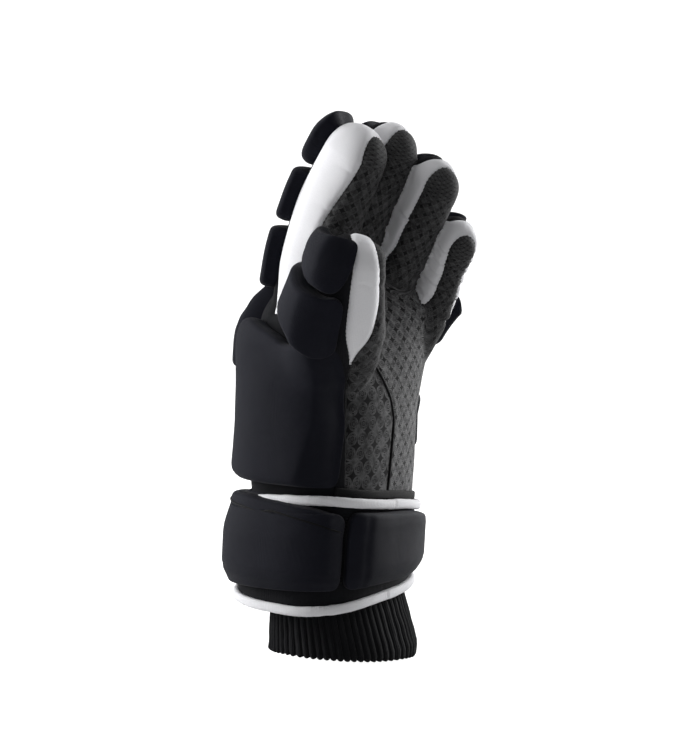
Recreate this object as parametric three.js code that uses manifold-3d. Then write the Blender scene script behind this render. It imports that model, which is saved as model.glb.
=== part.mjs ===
// Padded field hockey glove for the left hand, in the shape it has when worn: fingers up (+Z), palm
// towards -Y, thumb at -X. The origin is the middle of the knitted cuff's mouth, where a wrist goes in.
// All sizes are in millimetres, and every angle in a table is in degrees.
import * as THREE from "three";
import { mergeVertices } from "three/addons/utils/BufferGeometryUtils.js";
import Module from "manifold-3d";

const wasm = await Module();
wasm.setup();

// Driving sizes.
const FABRIC = 2.2; // palm, back and gusset fabric with its thin lining
const CLEARANCE = 0.3; // between pieces that are sewn or lie against each other
const SEAM_GAP = 0.5; // between the palm panel and the back panel
const HAND_PAD = 9.5; // foam on the hand and thumb
const WRIST_PAD = 8.5;
const BINDING = 1.6; // folded tape over a raw edge, on each side of it
const CUFF_WALL = 2.8; // doubled rib knit
const CUFF_RIBS = 20; // ribs that the solid shows, each of them three knitted ribs
const FINENESS = 0.1; // how far a cut solid's faces may be merged
const BODY_SIDES = 20; // of the hand's ovals, as the solids show them
const DIGIT_SIDES = 10;
const LINING_SIDES = 8; // of the room inside a digit

const rad = THREE.MathUtils.degToRad;
const vec = (x, y, z) => new THREE.Vector3(x, y, z);

// Value of one column of a table at a place between its rows.
function column(rows, key, name, at) {
  const first = rows[0];
  const last = rows[rows.length - 1];
  if (at <= first[key]) return first[name];
  if (at >= last[key]) return last[name];
  const i = rows.findIndex((row) => row[key] > at);
  const [a, b] = [rows[i - 1], rows[i]];
  const share = (at - a[key]) / (b[key] - a[key]);
  return a[name] + (b[name] - a[name]) * share;
}

// A point of a superellipse: 0 degrees faces the palm side, 90 the little finger's side.
function oval(angle, halfWidth, halfDepth, squareness) {
  const bend = (value) => Math.sign(value) * Math.abs(value) ** (2 / squareness);
  return [bend(Math.sin(angle)) * halfWidth, bend(Math.cos(angle)) * halfDepth];
}

// The hand without its digits: level ovals from the wrist hem to the roots of the fingers.
const HAND = [
  { z: 60, x: -4, y: 4, halfWidth: 42, halfDepth: 32, tilt: 0 },
  { z: 76, x: -3, y: 4.5, halfWidth: 43, halfDepth: 33, tilt: 0 },
  { z: 92, x: -2.5, y: 5, halfWidth: 45, halfDepth: 34.5, tilt: 2 },
  { z: 118, x: -1.5, y: 3.5, halfWidth: 46, halfDepth: 34.5, tilt: 4 },
  { z: 140, x: -1, y: 1.5, halfWidth: 47, halfDepth: 34.5, tilt: 0 },
  { z: 158, x: 0, y: 0, halfWidth: 47, halfDepth: 34, tilt: -10 },
  { z: 172, x: 1, y: -3, halfWidth: 45, halfDepth: 30, tilt: -20 },
  { z: 184, x: -3, y: -4, halfWidth: 35, halfDepth: 22, tilt: -25 },
  { z: 193, x: -8, y: -4, halfWidth: 23, halfDepth: 14, tilt: -25 },
];

// The gauntlet: level ovals of the inner face of its cloth, close to the hand at its upper rim.
const GAUNTLET = [
  { z: 10, x: -6, y: 7.5, halfWidth: 43, halfDepth: 33, tilt: 0 },
  { z: 40, x: -6, y: 7.5, halfWidth: 44, halfDepth: 34.5, tilt: 0 },
  { z: 64, x: -5, y: 6.5, halfWidth: 44, halfDepth: 34.5, tilt: 0 },
  { z: 76, x: -3, y: 4.5, halfWidth: 43.6, halfDepth: 33.6, tilt: 0 },
  { z: 92, x: -2.5, y: 5, halfWidth: 45.6, halfDepth: 35.1, tilt: 2 },
];
const BODY_SQUARENESS = 2.5; // of hand and gauntlet, so that their ovals stay parallel

// The knitted cuff, from its mouth up to the hem of the hand.
const CUFF = [
  { z: -4, x: 0, y: 0, halfWidth: 40, halfDepth: 33, tilt: 0 },
  { z: 4, x: 0, y: 0, halfWidth: 41, halfDepth: 33.5, tilt: 0 },
  { z: 30, x: -2, y: 2.8, halfWidth: 39, halfDepth: 28, tilt: 0 },
  { z: 60, x: -3, y: 4.5, halfWidth: 38.5, halfDepth: 28, tilt: 0 },
  { z: 80, x: -3, y: 4.5, halfWidth: 42, halfDepth: 32, tilt: 0 },
];
const CUFF_SQUARENESS = 2.2;

// Axis and half sizes of each digit from inside the hand to where its tip starts to round off.
// turn swings its palm side towards the thumb. dome is how far the rounded tip reaches past the axis.
const DIGITS = {
  index: {
    turn: 0,
    dome: 15,
    rows: [
      { x: -27, y: 3, z: 158, halfWidth: 15, halfDepth: 19 },
      { x: -27.5, y: 0, z: 180, halfWidth: 14.5, halfDepth: 19 },
      { x: -27.5, y: -4, z: 200, halfWidth: 14, halfDepth: 18.5 },
      { x: -27, y: -9.5, z: 218, halfWidth: 13.5, halfDepth: 18 },
      { x: -26.5, y: -16.5, z: 233, halfWidth: 13, halfDepth: 17.5 },
      { x: -26, y: -24.5, z: 248, halfWidth: 12.5, halfDepth: 16.5 },
    ],
  },
  middle: {
    turn: 12,
    dome: 13,
    rows: [
      { x: -8, y: -4, z: 158, halfWidth: 12.5, halfDepth: 18 },
      { x: -7, y: -6, z: 182, halfWidth: 12.5, halfDepth: 18 },
      { x: -6, y: -9.5, z: 204, halfWidth: 12, halfDepth: 17.5 },
      { x: -5, y: -16.5, z: 224, halfWidth: 12, halfDepth: 17 },
      { x: -4, y: -25, z: 241, halfWidth: 11.5, halfDepth: 16 },
      { x: -4, y: -30, z: 251, halfWidth: 11, halfDepth: 15 },
    ],
  },
  ring: {
    turn: 25,
    dome: 12,
    rows: [
      { x: 9, y: -9, z: 158, halfWidth: 12, halfDepth: 17 },
      { x: 11, y: -16, z: 180, halfWidth: 12, halfDepth: 17 },
      { x: 12, y: -25.5, z: 198, halfWidth: 11.8, halfDepth: 16.5 },
      { x: 11, y: -33.5, z: 212, halfWidth: 11.8, halfDepth: 16 },
      { x: 8.5, y: -42, z: 225, halfWidth: 11.3, halfDepth: 15 },
      { x: 5.5, y: -50, z: 234.5, halfWidth: 10.8, halfDepth: 14 },
    ],
  },
  little: {
    turn: 30,
    dome: 11,
    rows: [
      { x: 27, y: -14, z: 142, halfWidth: 10, halfDepth: 12 },
      { x: 30.5, y: -24, z: 165, halfWidth: 11.5, halfDepth: 15.5 },
      { x: 31, y: -32.5, z: 181, halfWidth: 11, halfDepth: 15 },
      { x: 28, y: -39.5, z: 193, halfWidth: 10.5, halfDepth: 14.5 },
      { x: 24, y: -47, z: 201.5, halfWidth: 10.5, halfDepth: 13.5 },
      { x: 21, y: -52.5, z: 206.5, halfWidth: 10, halfDepth: 12.5 },
    ],
  },
  thumb: {
    turn: -45,
    dome: 12,
    rows: [
      { x: -22, y: -6, z: 116, halfWidth: 9, halfDepth: 10 },
      { x: -28, y: -12.5, z: 133, halfWidth: 11, halfDepth: 14 },
      { x: -35.5, y: -20.5, z: 149, halfWidth: 12.5, halfDepth: 20.5 },
      { x: -42.5, y: -28, z: 165, halfWidth: 14.5, halfDepth: 22 },
      { x: -47, y: -35, z: 182, halfWidth: 14.5, halfDepth: 18 },
      { x: -50, y: -41, z: 198, halfWidth: 13, halfDepth: 15 },
    ],
  },
};
const DIGIT_SQUARENESS = 2.3;

// Where the stretch gusset of a digit begins and ends across it: its place along the digit
// (1 is where the tip starts to round, 2 its very end), and its back and front edge off the axis.
const GUSSETS = {
  index: [
    { at: 0.1, back: -11, front: -8 },
    { at: 0.35, back: -15.5, front: 7 },
    { at: 0.7, back: -15.5, front: 12 },
    { at: 1, back: -13.5, front: 8.5 },
    { at: 2, back: -9, front: 3 },
  ],
  middle: [
    { at: 0.36, back: -1, front: 2 },
    { at: 0.5, back: -9, front: 7 },
    { at: 1, back: -10, front: 6 },
    { at: 2, back: -6, front: 2 },
  ],
  ring: [
    { at: 0.3, back: -2, front: 1 },
    { at: 0.5, back: -9, front: 7 },
    { at: 1, back: -9, front: 6 },
    { at: 2, back: -5, front: 1 },
  ],
  little: [
    { at: 0.26, back: -1, front: 4 },
    { at: 0.4, back: -7, front: 6 },
    { at: 1, back: -8, front: 5 },
    { at: 2, back: -5, front: 1 },
  ],
  thumb: [
    { at: 0.48, back: 3, front: 5 },
    { at: 0.62, back: 0, front: 14 },
    { at: 0.8, back: -1, front: 15 },
    { at: 1, back: -2, front: 12 },
    { at: 2, back: -4, front: 6 },
  ],
};

// Side seams between the palm panel and the back panel, at the thumb's and the little finger's side.
const SIDE_SEAMS = [
  { z: 50, thumbX: -34, thumbY: -25, littleX: 42, littleY: -12 },
  { z: 82, thumbX: -34, thumbY: -25, littleX: 42, littleY: -14 },
  { z: 120, thumbX: -38, thumbY: -28, littleX: 43, littleY: -17 },
  { z: 152, thumbX: -40, thumbY: -30, littleX: 45, littleY: -24 },
  { z: 176, thumbX: -40, thumbY: -14, littleX: 46, littleY: -37 },
  { z: 300, thumbX: -40, thumbY: -14, littleX: 46, littleY: -37 },
];
const SEAM_FACES = { x: -0.82, y: -0.57 }; // the way that the thumb's side seam looks

// A surface that sections are drawn on. point(angle, along, lift) is a place on it, lifted off it.
function levelSurface(rows, squareness) {
  const flat = (angle, z, grow) => {
    const value = (name) => column(rows, "z", name, z);
    const [across, forward] = oval(
      angle,
      value("halfWidth") + grow,
      value("halfDepth") + grow,
      squareness,
    );
    const tilt = rad(value("tilt"));
    return vec(
      value("x") + across * Math.cos(tilt) + forward * Math.sin(tilt),
      value("y") + across * Math.sin(tilt) - forward * Math.cos(tilt),
      z,
    );
  };
  return lifted(flat, 1);
}

function digitSurface({ rows, turn, dome }) {
  const axis = new THREE.CatmullRomCurve3(rows.map(({ x, y, z }) => vec(x, y, z)));
  const stations = rows.map((row, i) => ({ ...row, at: i / (rows.length - 1) }));
  const side = vec(Math.cos(rad(turn)), -Math.sin(rad(turn)), 0);
  const frame = (along) => {
    const at = Math.min(Math.max(along, 0), 1);
    const ahead = axis.getTangent(at);
    const across = side.clone().addScaledVector(ahead, -side.dot(ahead)).normalize();
    const forward = across.clone().cross(ahead).normalize();
    const round = rad(90) * Math.max(along - 1, 0);
    const centre = axis.getPoint(at).addScaledVector(ahead, dome * Math.sin(round));
    return { centre, ahead, across, forward, shrink: Math.cos(round), at };
  };
  const flat = (angle, along, grow) => {
    const { centre, across, forward, ahead, shrink, at } = frame(along);
    const [right, front] = oval(
      angle,
      (column(stations, "at", "halfWidth", at) + grow) * shrink,
      (column(stations, "at", "halfDepth", at) + grow) * shrink,
      DIGIT_SQUARENESS,
    );
    return centre
      .addScaledVector(across, right)
      .addScaledVector(forward, front)
      .addScaledVector(ahead, along > 1 ? grow * Math.sin(rad(90) * (along - 1)) : 0);
  };
  return { ...lifted(flat, 0.01), frame };
}

// Adds to a surface the way to lift a point off it, square to it.
function lifted(flat, step) {
  const normal = (angle, along) => {
    const turnStep = 0.02;
    const around = flat(angle + turnStep, along, 0).sub(flat(angle - turnStep, along, 0));
    const up = flat(angle, along + step, 0).sub(flat(angle, along - step, 0));
    return around.cross(up).normalize();
  };
  const point = (angle, along, lift) =>
    flat(angle, along, 0).addScaledVector(normal(angle, along), lift);
  return { flat, point };
}

// A closed mesh from rings of points: neighbours are joined, and both ends are closed by a fan.
function loft(rings) {
  const sides = rings[0].length;
  const points = rings.flat();
  const faces = [];
  for (let i = 0; i + 1 < rings.length; i++)
    for (let k = 0; k < sides; k++) {
      const a = i * sides + k;
      const b = i * sides + ((k + 1) % sides);
      faces.push([a, b, b + sides], [a, b + sides, a + sides]);
    }
  for (const [first, flip] of [
    [0, true],
    [(rings.length - 1) * sides, false],
  ]) {
    const middle = points.length;
    const ring = points.slice(first, first + sides);
    points.push(ring.reduce((sum, p) => sum.add(p), vec(0, 0, 0)).divideScalar(sides));
    for (let k = 0; k < sides; k++) {
      const pair = [first + k, first + ((k + 1) % sides)];
      faces.push(flip ? [pair[1], pair[0], middle] : [pair[0], pair[1], middle]);
    }
  }
  return geometryOf(points, faces);
}

// A closed band from profiles that go once around: the last profile is joined to the first.
function band(profiles) {
  const sides = profiles[0].length;
  const points = profiles.flat();
  const faces = [];
  for (let i = 0; i < profiles.length; i++)
    for (let k = 0; k < sides; k++) {
      const next = (i + 1) % profiles.length;
      const [a, b] = [i * sides + k, i * sides + ((k + 1) % sides)];
      const [c, d] = [next * sides + k, next * sides + ((k + 1) % sides)];
      faces.push([a, d, b], [a, c, d]);
    }
  return geometryOf(points, faces);
}

function geometryOf(points, faces) {
  const geometry = new THREE.BufferGeometry();
  geometry.setAttribute(
    "position",
    new THREE.Float32BufferAttribute(points.flatMap((p) => p.toArray()), 3),
  );
  geometry.setIndex(faces.flat());
  return geometry;
}

function solidOf(geometry) {
  const merged = mergeVertices(geometry, 1e-4);
  return new wasm.Manifold(
    new wasm.Mesh({
      numProp: 3,
      vertProperties: merged.attributes.position.array,
      triVerts: new Uint32Array(merged.index.array),
    }),
  );
}

// The largest body of a cut, without the crumbs that a cut through curved cloth can leave.
function mainBody(solid) {
  const bodies = solid.decompose();
  return bodies.reduce((best, body) => (body.volume() > best.volume() ? body : best));
}

function geometryOfSolid(solid) {
  const { vertProperties, triVerts } = mainBody(solid.simplify(FINENESS)).getMesh();
  const geometry = new THREE.BufferGeometry();
  geometry.setAttribute("position", new THREE.BufferAttribute(new Float32Array(vertProperties), 3));
  geometry.setIndex(new THREE.BufferAttribute(new Uint32Array(triVerts), 1));
  return geometry;
}

const angles = (sides) => Array.from({ length: sides }, (_, k) => (k / sides) * 2 * Math.PI);
const steps = (from, to, count) =>
  Array.from({ length: count + 1 }, (_, k) => from + ((to - from) * k) / count);

const handSurface = levelSurface(HAND, BODY_SQUARENESS);
const gauntletSurface = levelSurface(GAUNTLET, BODY_SQUARENESS);
const gauntletOuter = levelSurface(
  GAUNTLET.map((row) => ({
    ...row,
    halfWidth: row.halfWidth + FABRIC,
    halfDepth: row.halfDepth + FABRIC,
  })),
  BODY_SQUARENESS,
);
const cuffSurface = levelSurface(CUFF, CUFF_SQUARENESS);
const digitSurfaces = Object.fromEntries(
  Object.entries(DIGITS).map(([name, digit]) => [name, digitSurface(digit)]),
);
const HEM = 76; // height of the hand's lower hem

// The hand's form, grown or shrunk by some millimetres.
function handForm(grow, sides, bottom) {
  const top = HAND[HAND.length - 1].z;
  const heights = [bottom, ...HAND.map((row) => row.z).filter((z) => z > bottom)];
  const rings = heights.map((z) => angles(sides).map((a) => handSurface.flat(a, z, grow)));
  rings.push(angles(sides).map((a) => handSurface.flat(a, top, grow - 11).setZ(top + 3 + grow)));
  return solidOf(loft(rings));
}

const DIGIT_STATIONS = [...steps(0, 1, 4), 1.33, 1.66, 1.93];
function digitForm(name, grow, sides = DIGIT_SIDES) {
  const surface = digitSurfaces[name];
  return solidOf(
    loft(DIGIT_STATIONS.map((at) => angles(sides).map((a) => surface.flat(a, at, grow)))),
  );
}

// A slab along a digit between two distances off its axis, towards its palm side.
const SLAB_REACH = 30;
function digitSlab(name, backAt, frontAt, from) {
  const { frame } = digitSurfaces[name];
  const { dome } = DIGITS[name];
  const places = [from, ...DIGIT_STATIONS.filter((at) => at > from + 0.05), 2, 3];
  const rings = places.map((at) => {
    const { centre, across, forward, ahead } = frame(Math.min(at, 2));
    if (at > 2) centre.addScaledVector(ahead, dome);
    const corner = (right, front) =>
      centre.clone().addScaledVector(across, right).addScaledVector(forward, front);
    return [
      corner(-SLAB_REACH, backAt(at)),
      corner(-SLAB_REACH, frontAt(at)),
      corner(SLAB_REACH, frontAt(at)),
      corner(SLAB_REACH, backAt(at)),
    ];
  });
  return solidOf(loft(rings));
}

// The block in front of the side seams, moved back by some millimetres.
function frontBlock(back) {
  const far = -140;
  const rings = SIDE_SEAMS.map(({ z, thumbX, thumbY, littleX, littleY }) => [
    vec(thumbX, thumbY + back, z),
    vec(thumbX + 100 * SEAM_FACES.x, thumbY + 100 * SEAM_FACES.y + back, z),
    vec(thumbX + 100 * SEAM_FACES.x, far, z),
    vec(littleX + 90, far, z),
    vec(littleX + 90, littleY + back, z),
    vec(littleX, littleY + back, z),
  ]);
  return solidOf(loft(rings));
}

// An edge that changes from share to share of a pad's width.
const edgeLine = (rows) => (share) => column(rows, "share", "edge", share);

// The shaped foam pads: from one angle to another round a surface, between a lower and an upper
// edge. lean turns both side edges on the way up. The foam's face is full inside its bevelled rim.
// Its back is sunk into the surface, so that a cut with the cloth's form gives it its fitted shape.
const SINK = 1.5;
function pad(surface, spec) {
  const { from, to, lean = [0, 0], lower, upper, bevel, across = 5, along = 3 } = spec;
  const { thick, thickTop = thick } = spec;
  const spread = (count, rim) => [0, rim, ...steps(rim, 1 - rim, count - 2).slice(1, -1), 1 - rim, 1];
  const shares = spread(across, bevel.side);
  const heights = spread(along, bevel.end);
  const value = (edge, share) => (typeof edge === "function" ? edge(share) : edge);
  const place = (u, v, lift) => {
    const [start, end] = [from + lean[0] * v, to + lean[1] * v];
    const angle = rad(start + (end - start) * u);
    const low = value(lower, u);
    return surface.point(angle, low + (value(upper, u) - low) * v, lift);
  };
  const rimLift = (u, v) => {
    const onRim = u === 0 || u === 1 || v === 0 || v === 1;
    return CLEARANCE + (thick + (thickTop - thick) * v) * (onRim ? 0.45 : 1);
  };
  const columns = shares.length;
  const count = columns * heights.length;
  const outer = heights.flatMap((v) => shares.map((u) => place(u, v, rimLift(u, v))));
  const inner = heights.flatMap((v) => shares.map((u) => place(u, v, -SINK)));
  const faces = [];
  for (let j = 0; j + 1 < heights.length; j++)
    for (let i = 0; i + 1 < columns; i++) {
      const a = j * columns + i;
      const [b, c, d] = [a + 1, a + columns + 1, a + columns];
      faces.push([a, b, c], [a, c, d]);
      faces.push([count + a, count + c, count + b], [count + a, count + d, count + c]);
    }
  const rim = [
    ...steps(0, columns - 1, columns - 1),
    ...steps(1, heights.length - 1, heights.length - 2).map((j) => j * columns + columns - 1),
    ...steps(columns - 2, 0, columns - 2).map((i) => count - columns + i),
    ...steps(heights.length - 2, 1, heights.length - 3).map((j) => j * columns),
  ];
  rim.forEach((a, i) => {
    const b = rim[(i + 1) % rim.length];
    faces.push([b, a, a + count], [b, a + count, b + count]);
  });
  return geometryOf([...outer, ...inner], faces);
}

// A wall round the whole of a surface, between two rims.
function wall(surface, { sides, bottom, top, inside, outside, rows, wave = () => 0 }) {
  const profiles = angles(sides).map((angle) => {
    const [low, high] = [bottom(angle), top(angle)];
    const heights = steps(low, high, rows);
    const out = heights.map((z) => surface.point(angle, z, outside + wave(angle)).setZ(z));
    const back = heights.map((z) => surface.point(angle, z, inside).setZ(z)).reverse();
    return [...out, ...back];
  });
  return band(profiles);
}

// A folded tape round a rim: a flat oval section that follows the edge.
function binding(surface, { sides, edge, height, inside, outside }) {
  const middle = (inside + outside) / 2;
  const profiles = angles(sides).map((angle) => {
    const z = edge(angle);
    return angles(6).map((turn) => {
      const lift = middle + ((outside - inside) / 2) * Math.cos(turn);
      const at = z + (height / 2) * Math.sin(turn);
      return surface.point(angle, z, lift).setZ(at);
    });
  });
  return band(profiles);
}

// Heights of the gauntlet's rims round the wrist.
const LOWER_RIM = [
  { angle: -180, z: 35 },
  { angle: -130, z: 32 },
  { angle: -70, z: 28 },
  { angle: -35, z: 29 },
  { angle: 5, z: 33 },
  { angle: 45, z: 36 },
  { angle: 110, z: 37 },
  { angle: 180, z: 35 },
];
const UPPER_RIM = [
  { angle: -180, z: 77 },
  { angle: -135, z: 77.5 },
  { angle: -95, z: 82 },
  { angle: -55, z: 82.2 },
  { angle: -10, z: 78.8 },
  { angle: 35, z: 75 },
  { angle: 110, z: 74 },
  { angle: 180, z: 77 },
];
const turned = (angle) => THREE.MathUtils.euclideanModulo((angle * 180) / Math.PI + 180, 360) - 180;
const lowerRim = (angle) => column(LOWER_RIM, "angle", "z", turned(angle));
const upperRim = (angle) => column(UPPER_RIM, "angle", "z", turned(angle));

const CLOTH_BLACK = new THREE.MeshStandardMaterial({ color: 0x1c1d22, roughness: 0.85, metalness: 0 });
const FOAM_BLACK = new THREE.MeshStandardMaterial({ color: 0x17181d, roughness: 0.7, metalness: 0 });
const PRINT_CLOTH = new THREE.MeshStandardMaterial({ color: 0x2c2c2e, roughness: 0.8, metalness: 0 });
const STRETCH_WHITE = new THREE.MeshStandardMaterial({ color: 0xe9e9ee, roughness: 0.8, metalness: 0 });
const TAPE_WHITE = new THREE.MeshStandardMaterial({ color: 0xf0f0f3, roughness: 0.75, metalness: 0 });
const RIB_KNIT = new THREE.MeshStandardMaterial({ color: 0x15161a, roughness: 0.95, metalness: 0 });

const glove = new THREE.Group();
function add(name, geometry, material) {
  const mesh = new THREE.Mesh(geometry, material.clone());
  mesh.name = name;
  glove.add(mesh);
}

// The cloth skin of hand and digits: outer form less the room for the hand.
const names = Object.keys(DIGITS);
const digitRoom = names.map((name) => digitForm(name, -FABRIC, LINING_SIDES));
const outerForm = names.reduce(
  (sum, name) => sum.add(digitForm(name, 0)),
  handForm(0, BODY_SIDES, HEM),
);
const room = digitRoom.reduce(
  (sum, form) => sum.add(form),
  handForm(-FABRIC, BODY_SIDES / 2, HEM - 10),
);
const skin = outerForm.subtract(room);

// Gussets run up one side of a digit, over its tip and down the other side.
const edgeOf = (name, side, more) => (at) => column(GUSSETS[name], "at", side, at) + more;
let rest = skin;
let taken = null;
const gussets = {};
for (const name of names) {
  const from = GUSSETS[name][0].at;
  const own = digitForm(name, 0.6);
  const tight = digitSlab(name, edgeOf(name, "back", 0), edgeOf(name, "front", 0), from);
  const loose = digitSlab(
    name,
    edgeOf(name, "back", -CLEARANCE),
    edgeOf(name, "front", CLEARANCE),
    from - 0.01,
  );
  let gusset = skin.intersect(tight).intersect(own);
  if (taken) gusset = gusset.subtract(taken);
  gussets[name] = gusset;
  const wide = loose.intersect(digitForm(name, 0.6 + CLEARANCE));
  taken = taken ? taken.add(wide) : wide;
  rest = rest.subtract(wide);
}

// Each finger's palm side belongs to the palm panel and its nail side to the back panel.
const middleOf = (name, more) => (at) =>
  (edgeOf(name, "back", 0)(at) + edgeOf(name, "front", 0)(at)) / 2 + more;
function frontVolume(back) {
  let volume = frontBlock(back);
  for (const name of names) {
    const from = GUSSETS[name][0].at;
    const middle = middleOf(name, -back);
    const front = digitSlab(name, middle, () => SLAB_REACH, from).intersect(digitForm(name, 1 + back));
    const rear = digitSlab(name, () => -SLAB_REACH, middle, from).intersect(digitForm(name, 1 - back));
    volume = volume.subtract(rear).add(front);
  }
  return volume;
}
add("palm_panel", geometryOfSolid(rest.intersect(frontVolume(0))), PRINT_CLOTH);
add("back_panel", geometryOfSolid(rest.subtract(frontVolume(SEAM_GAP))), CLOTH_BLACK);
for (const name of names)
  add(name + "_gusset", geometryOfSolid(gussets[name]), STRETCH_WHITE);

// Three foam pads on the back of each finger, as shares of its length.
const FINGER_PADS = {
  index: [
    { part: "base", lower: 0.21, upper: 0.48, thick: 8, thickTop: 7.5 },
    { part: "middle", lower: 0.52, upper: 0.79, thick: 7, thickTop: 7 },
    { part: "tip", lower: 0.83, upper: 1.5, thick: 7.5, thickTop: 6.5 },
  ],
  middle: [
    { part: "base", lower: 0.24, upper: 0.48, thick: 8, thickTop: 8 },
    { part: "middle", lower: 0.52, upper: 0.78, thick: 8, thickTop: 8 },
    { part: "tip", lower: 0.82, upper: 1.38, thick: 8, thickTop: 3 },
  ],
  ring: [
    { part: "base", lower: 0.26, upper: 0.48, thick: 8, thickTop: 8 },
    { part: "middle", lower: 0.52, upper: 0.74, thick: 8, thickTop: 7 },
    { part: "tip", lower: 0.78, upper: 1.3, thick: 7, thickTop: 2.5 },
  ],
  little: [
    { part: "base", lower: 0.34, upper: 0.54, thick: 7.5, thickTop: 7.5 },
    { part: "middle", lower: 0.58, upper: 0.78, thick: 7.5, thickTop: 6 },
    { part: "tip", lower: 0.82, upper: 1.3, thick: 6, thickTop: 2.5 },
  ],
};
const FINGER_PAD_SPREAD = 42; // degrees to each side of the finger's back
// Every pad lies against the outer form of hand and digits.
const padded = names.reduce(
  (sum, name) => sum.add(digitForm(name, CLEARANCE)),
  handForm(CLEARANCE, BODY_SIDES, HEM - 10),
);
const fitted = (foam, form) => geometryOfSolid(solidOf(foam).subtract(form));
for (const [name, rows] of Object.entries(FINGER_PADS))
  for (const { part, ...size } of rows) {
    const foam = pad(digitSurfaces[name], {
      from: 180 - FINGER_PAD_SPREAD,
      to: 180 + FINGER_PAD_SPREAD,
      ...size,
      bevel: { side: 0.12, end: 0.14 },
    });
    add(`${name}_pad_${part}`, fitted(foam, padded), FOAM_BLACK);
  }

// Two pads wrap the back of the thumb, and reach round to the side that faces away from the palm.
const THUMB_PADS = [
  {
    part: "base",
    lower: edgeLine([
      { share: 0.25, edge: 0.66 },
      { share: 0.55, edge: 0.6 },
      { share: 0.8, edge: 0.53 },
      { share: 1, edge: 0.53 },
    ]),
    upper: edgeLine([
      { share: 0.3, edge: 0.89 },
      { share: 0.55, edge: 0.82 },
      { share: 0.8, edge: 0.79 },
      { share: 1, edge: 0.82 },
    ]),
    thick: 11,
  },
  {
    part: "tip",
    lower: edgeLine([
      { share: 0.3, edge: 0.93 },
      { share: 0.55, edge: 0.86 },
      { share: 0.8, edge: 0.83 },
      { share: 1, edge: 0.86 },
    ]),
    upper: 1.5,
    thick: 9,
    thickTop: 6,
  },
];
for (const { part, ...size } of THUMB_PADS) {
  const foam = pad(digitSurfaces.thumb, {
    from: 122,
    to: 262,
    ...size,
    bevel: { side: 0.1, end: 0.16 },
    across: 7,
  });
  add(`thumb_pad_${part}`, fitted(foam, padded), FOAM_BLACK);
}

// The pads of the hand itself, cut back where a digit's root stands out of it.
const HAND_PADS = {
  side_pad: {
    from: 214,
    to: 312,
    lean: [9, 0],
    lower: edgeLine([
      { share: 0, edge: 97 },
      { share: 0.15, edge: 91.5 },
      { share: 1, edge: 88 },
    ]),
    upper: edgeLine([
      { share: 0, edge: 158 },
      { share: 0.15, edge: 167 },
      { share: 0.4, edge: 168 },
      { share: 0.7, edge: 154 },
      { share: 1, edge: 151 },
    ]),
    thick: HAND_PAD,
    bevel: { side: 0.1, end: 0.08 },
    across: 10,
    along: 5,
  },
  knuckle_pad: {
    from: 148,
    to: 218,
    lean: [0, 12],
    lower: 143,
    upper: 184,
    thick: 12,
    bevel: { side: 0.12, end: 0.2 },
    across: 6,
    along: 4,
  },
  hand_back_pad: {
    from: 140,
    to: 212,
    lower: 90,
    upper: 139,
    thick: HAND_PAD,
    bevel: { side: 0.1, end: 0.1 },
    across: 7,
    along: 4,
  },
  little_side_pad_upper: {
    from: 86,
    to: 136,
    lower: 153,
    upper: 174,
    thick: 7,
    bevel: { side: 0.15, end: 0.16 },
  },
  little_side_pad_lower: {
    from: 84,
    to: 134,
    lower: 99,
    upper: 130,
    thick: 7,
    bevel: { side: 0.15, end: 0.14 },
  },
};
for (const [name, spec] of Object.entries(HAND_PADS))
  add(name, fitted(pad(handSurface, spec), padded), FOAM_BLACK);

// The gauntlet is a cloth band with a taped edge above and below, and two foam pads outside it.
const RIM_SIDES = 24;
const TAPE_HEIGHT = 4.6;
const gauntletWall = (inside, outside) =>
  wall(gauntletSurface, {
    sides: RIM_SIDES,
    bottom: (angle) => lowerRim(angle) + TAPE_HEIGHT / 2 + CLEARANCE,
    top: (angle) => upperRim(angle) - TAPE_HEIGHT / 2 - CLEARANCE,
    inside,
    outside,
    rows: 2,
  });
add("gauntlet_band", gauntletWall(0, FABRIC), CLOTH_BLACK);
const rimTape = (edge, grow) =>
  binding(gauntletSurface, {
    sides: RIM_SIDES,
    edge,
    height: TAPE_HEIGHT + 2 * grow,
    inside: -grow,
    outside: FABRIC + BINDING + grow,
  });
add("gauntlet_tape_lower", rimTape(lowerRim, 0), TAPE_WHITE);
add("gauntlet_tape_upper", rimTape(upperRim, 0), TAPE_WHITE);
const underWristPads = [lowerRim, upperRim]
  .map((edge) => solidOf(rimTape(edge, CLEARANCE)))
  .reduce((sum, tape) => sum.add(tape), solidOf(gauntletWall(-SINK, FABRIC + CLEARANCE)));
const WRIST_PADS = {
  wrist_pad_back: {
    from: 150,
    to: 321,
    lower: edgeLine([
      { share: 0, edge: 44 },
      { share: 0.3, edge: 39 },
      { share: 1, edge: 38.5 },
    ]),
    upper: edgeLine([
      { share: 0, edge: 76 },
      { share: 0.35, edge: 83 },
      { share: 0.6, edge: 84 },
      { share: 0.85, edge: 79 },
      { share: 1, edge: 74 },
    ]),
    thick: WRIST_PAD,
    bevel: { side: 0.05, end: 0.16 },
    across: 14,
  },
  wrist_pad_front: {
    from: 325,
    to: 424,
    lower: edgeLine([
      { share: 0, edge: 38 },
      { share: 0.5, edge: 40 },
      { share: 1, edge: 46 },
    ]),
    upper: edgeLine([
      { share: 0, edge: 76 },
      { share: 0.5, edge: 73 },
      { share: 1, edge: 67 },
    ]),
    thick: WRIST_PAD - 1.5,
    bevel: { side: 0.08, end: 0.16 },
    across: 9,
  },
};
for (const [name, spec] of Object.entries(WRIST_PADS))
  add(name, fitted(pad(gauntletOuter, spec), underWristPads), FOAM_BLACK);

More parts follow.
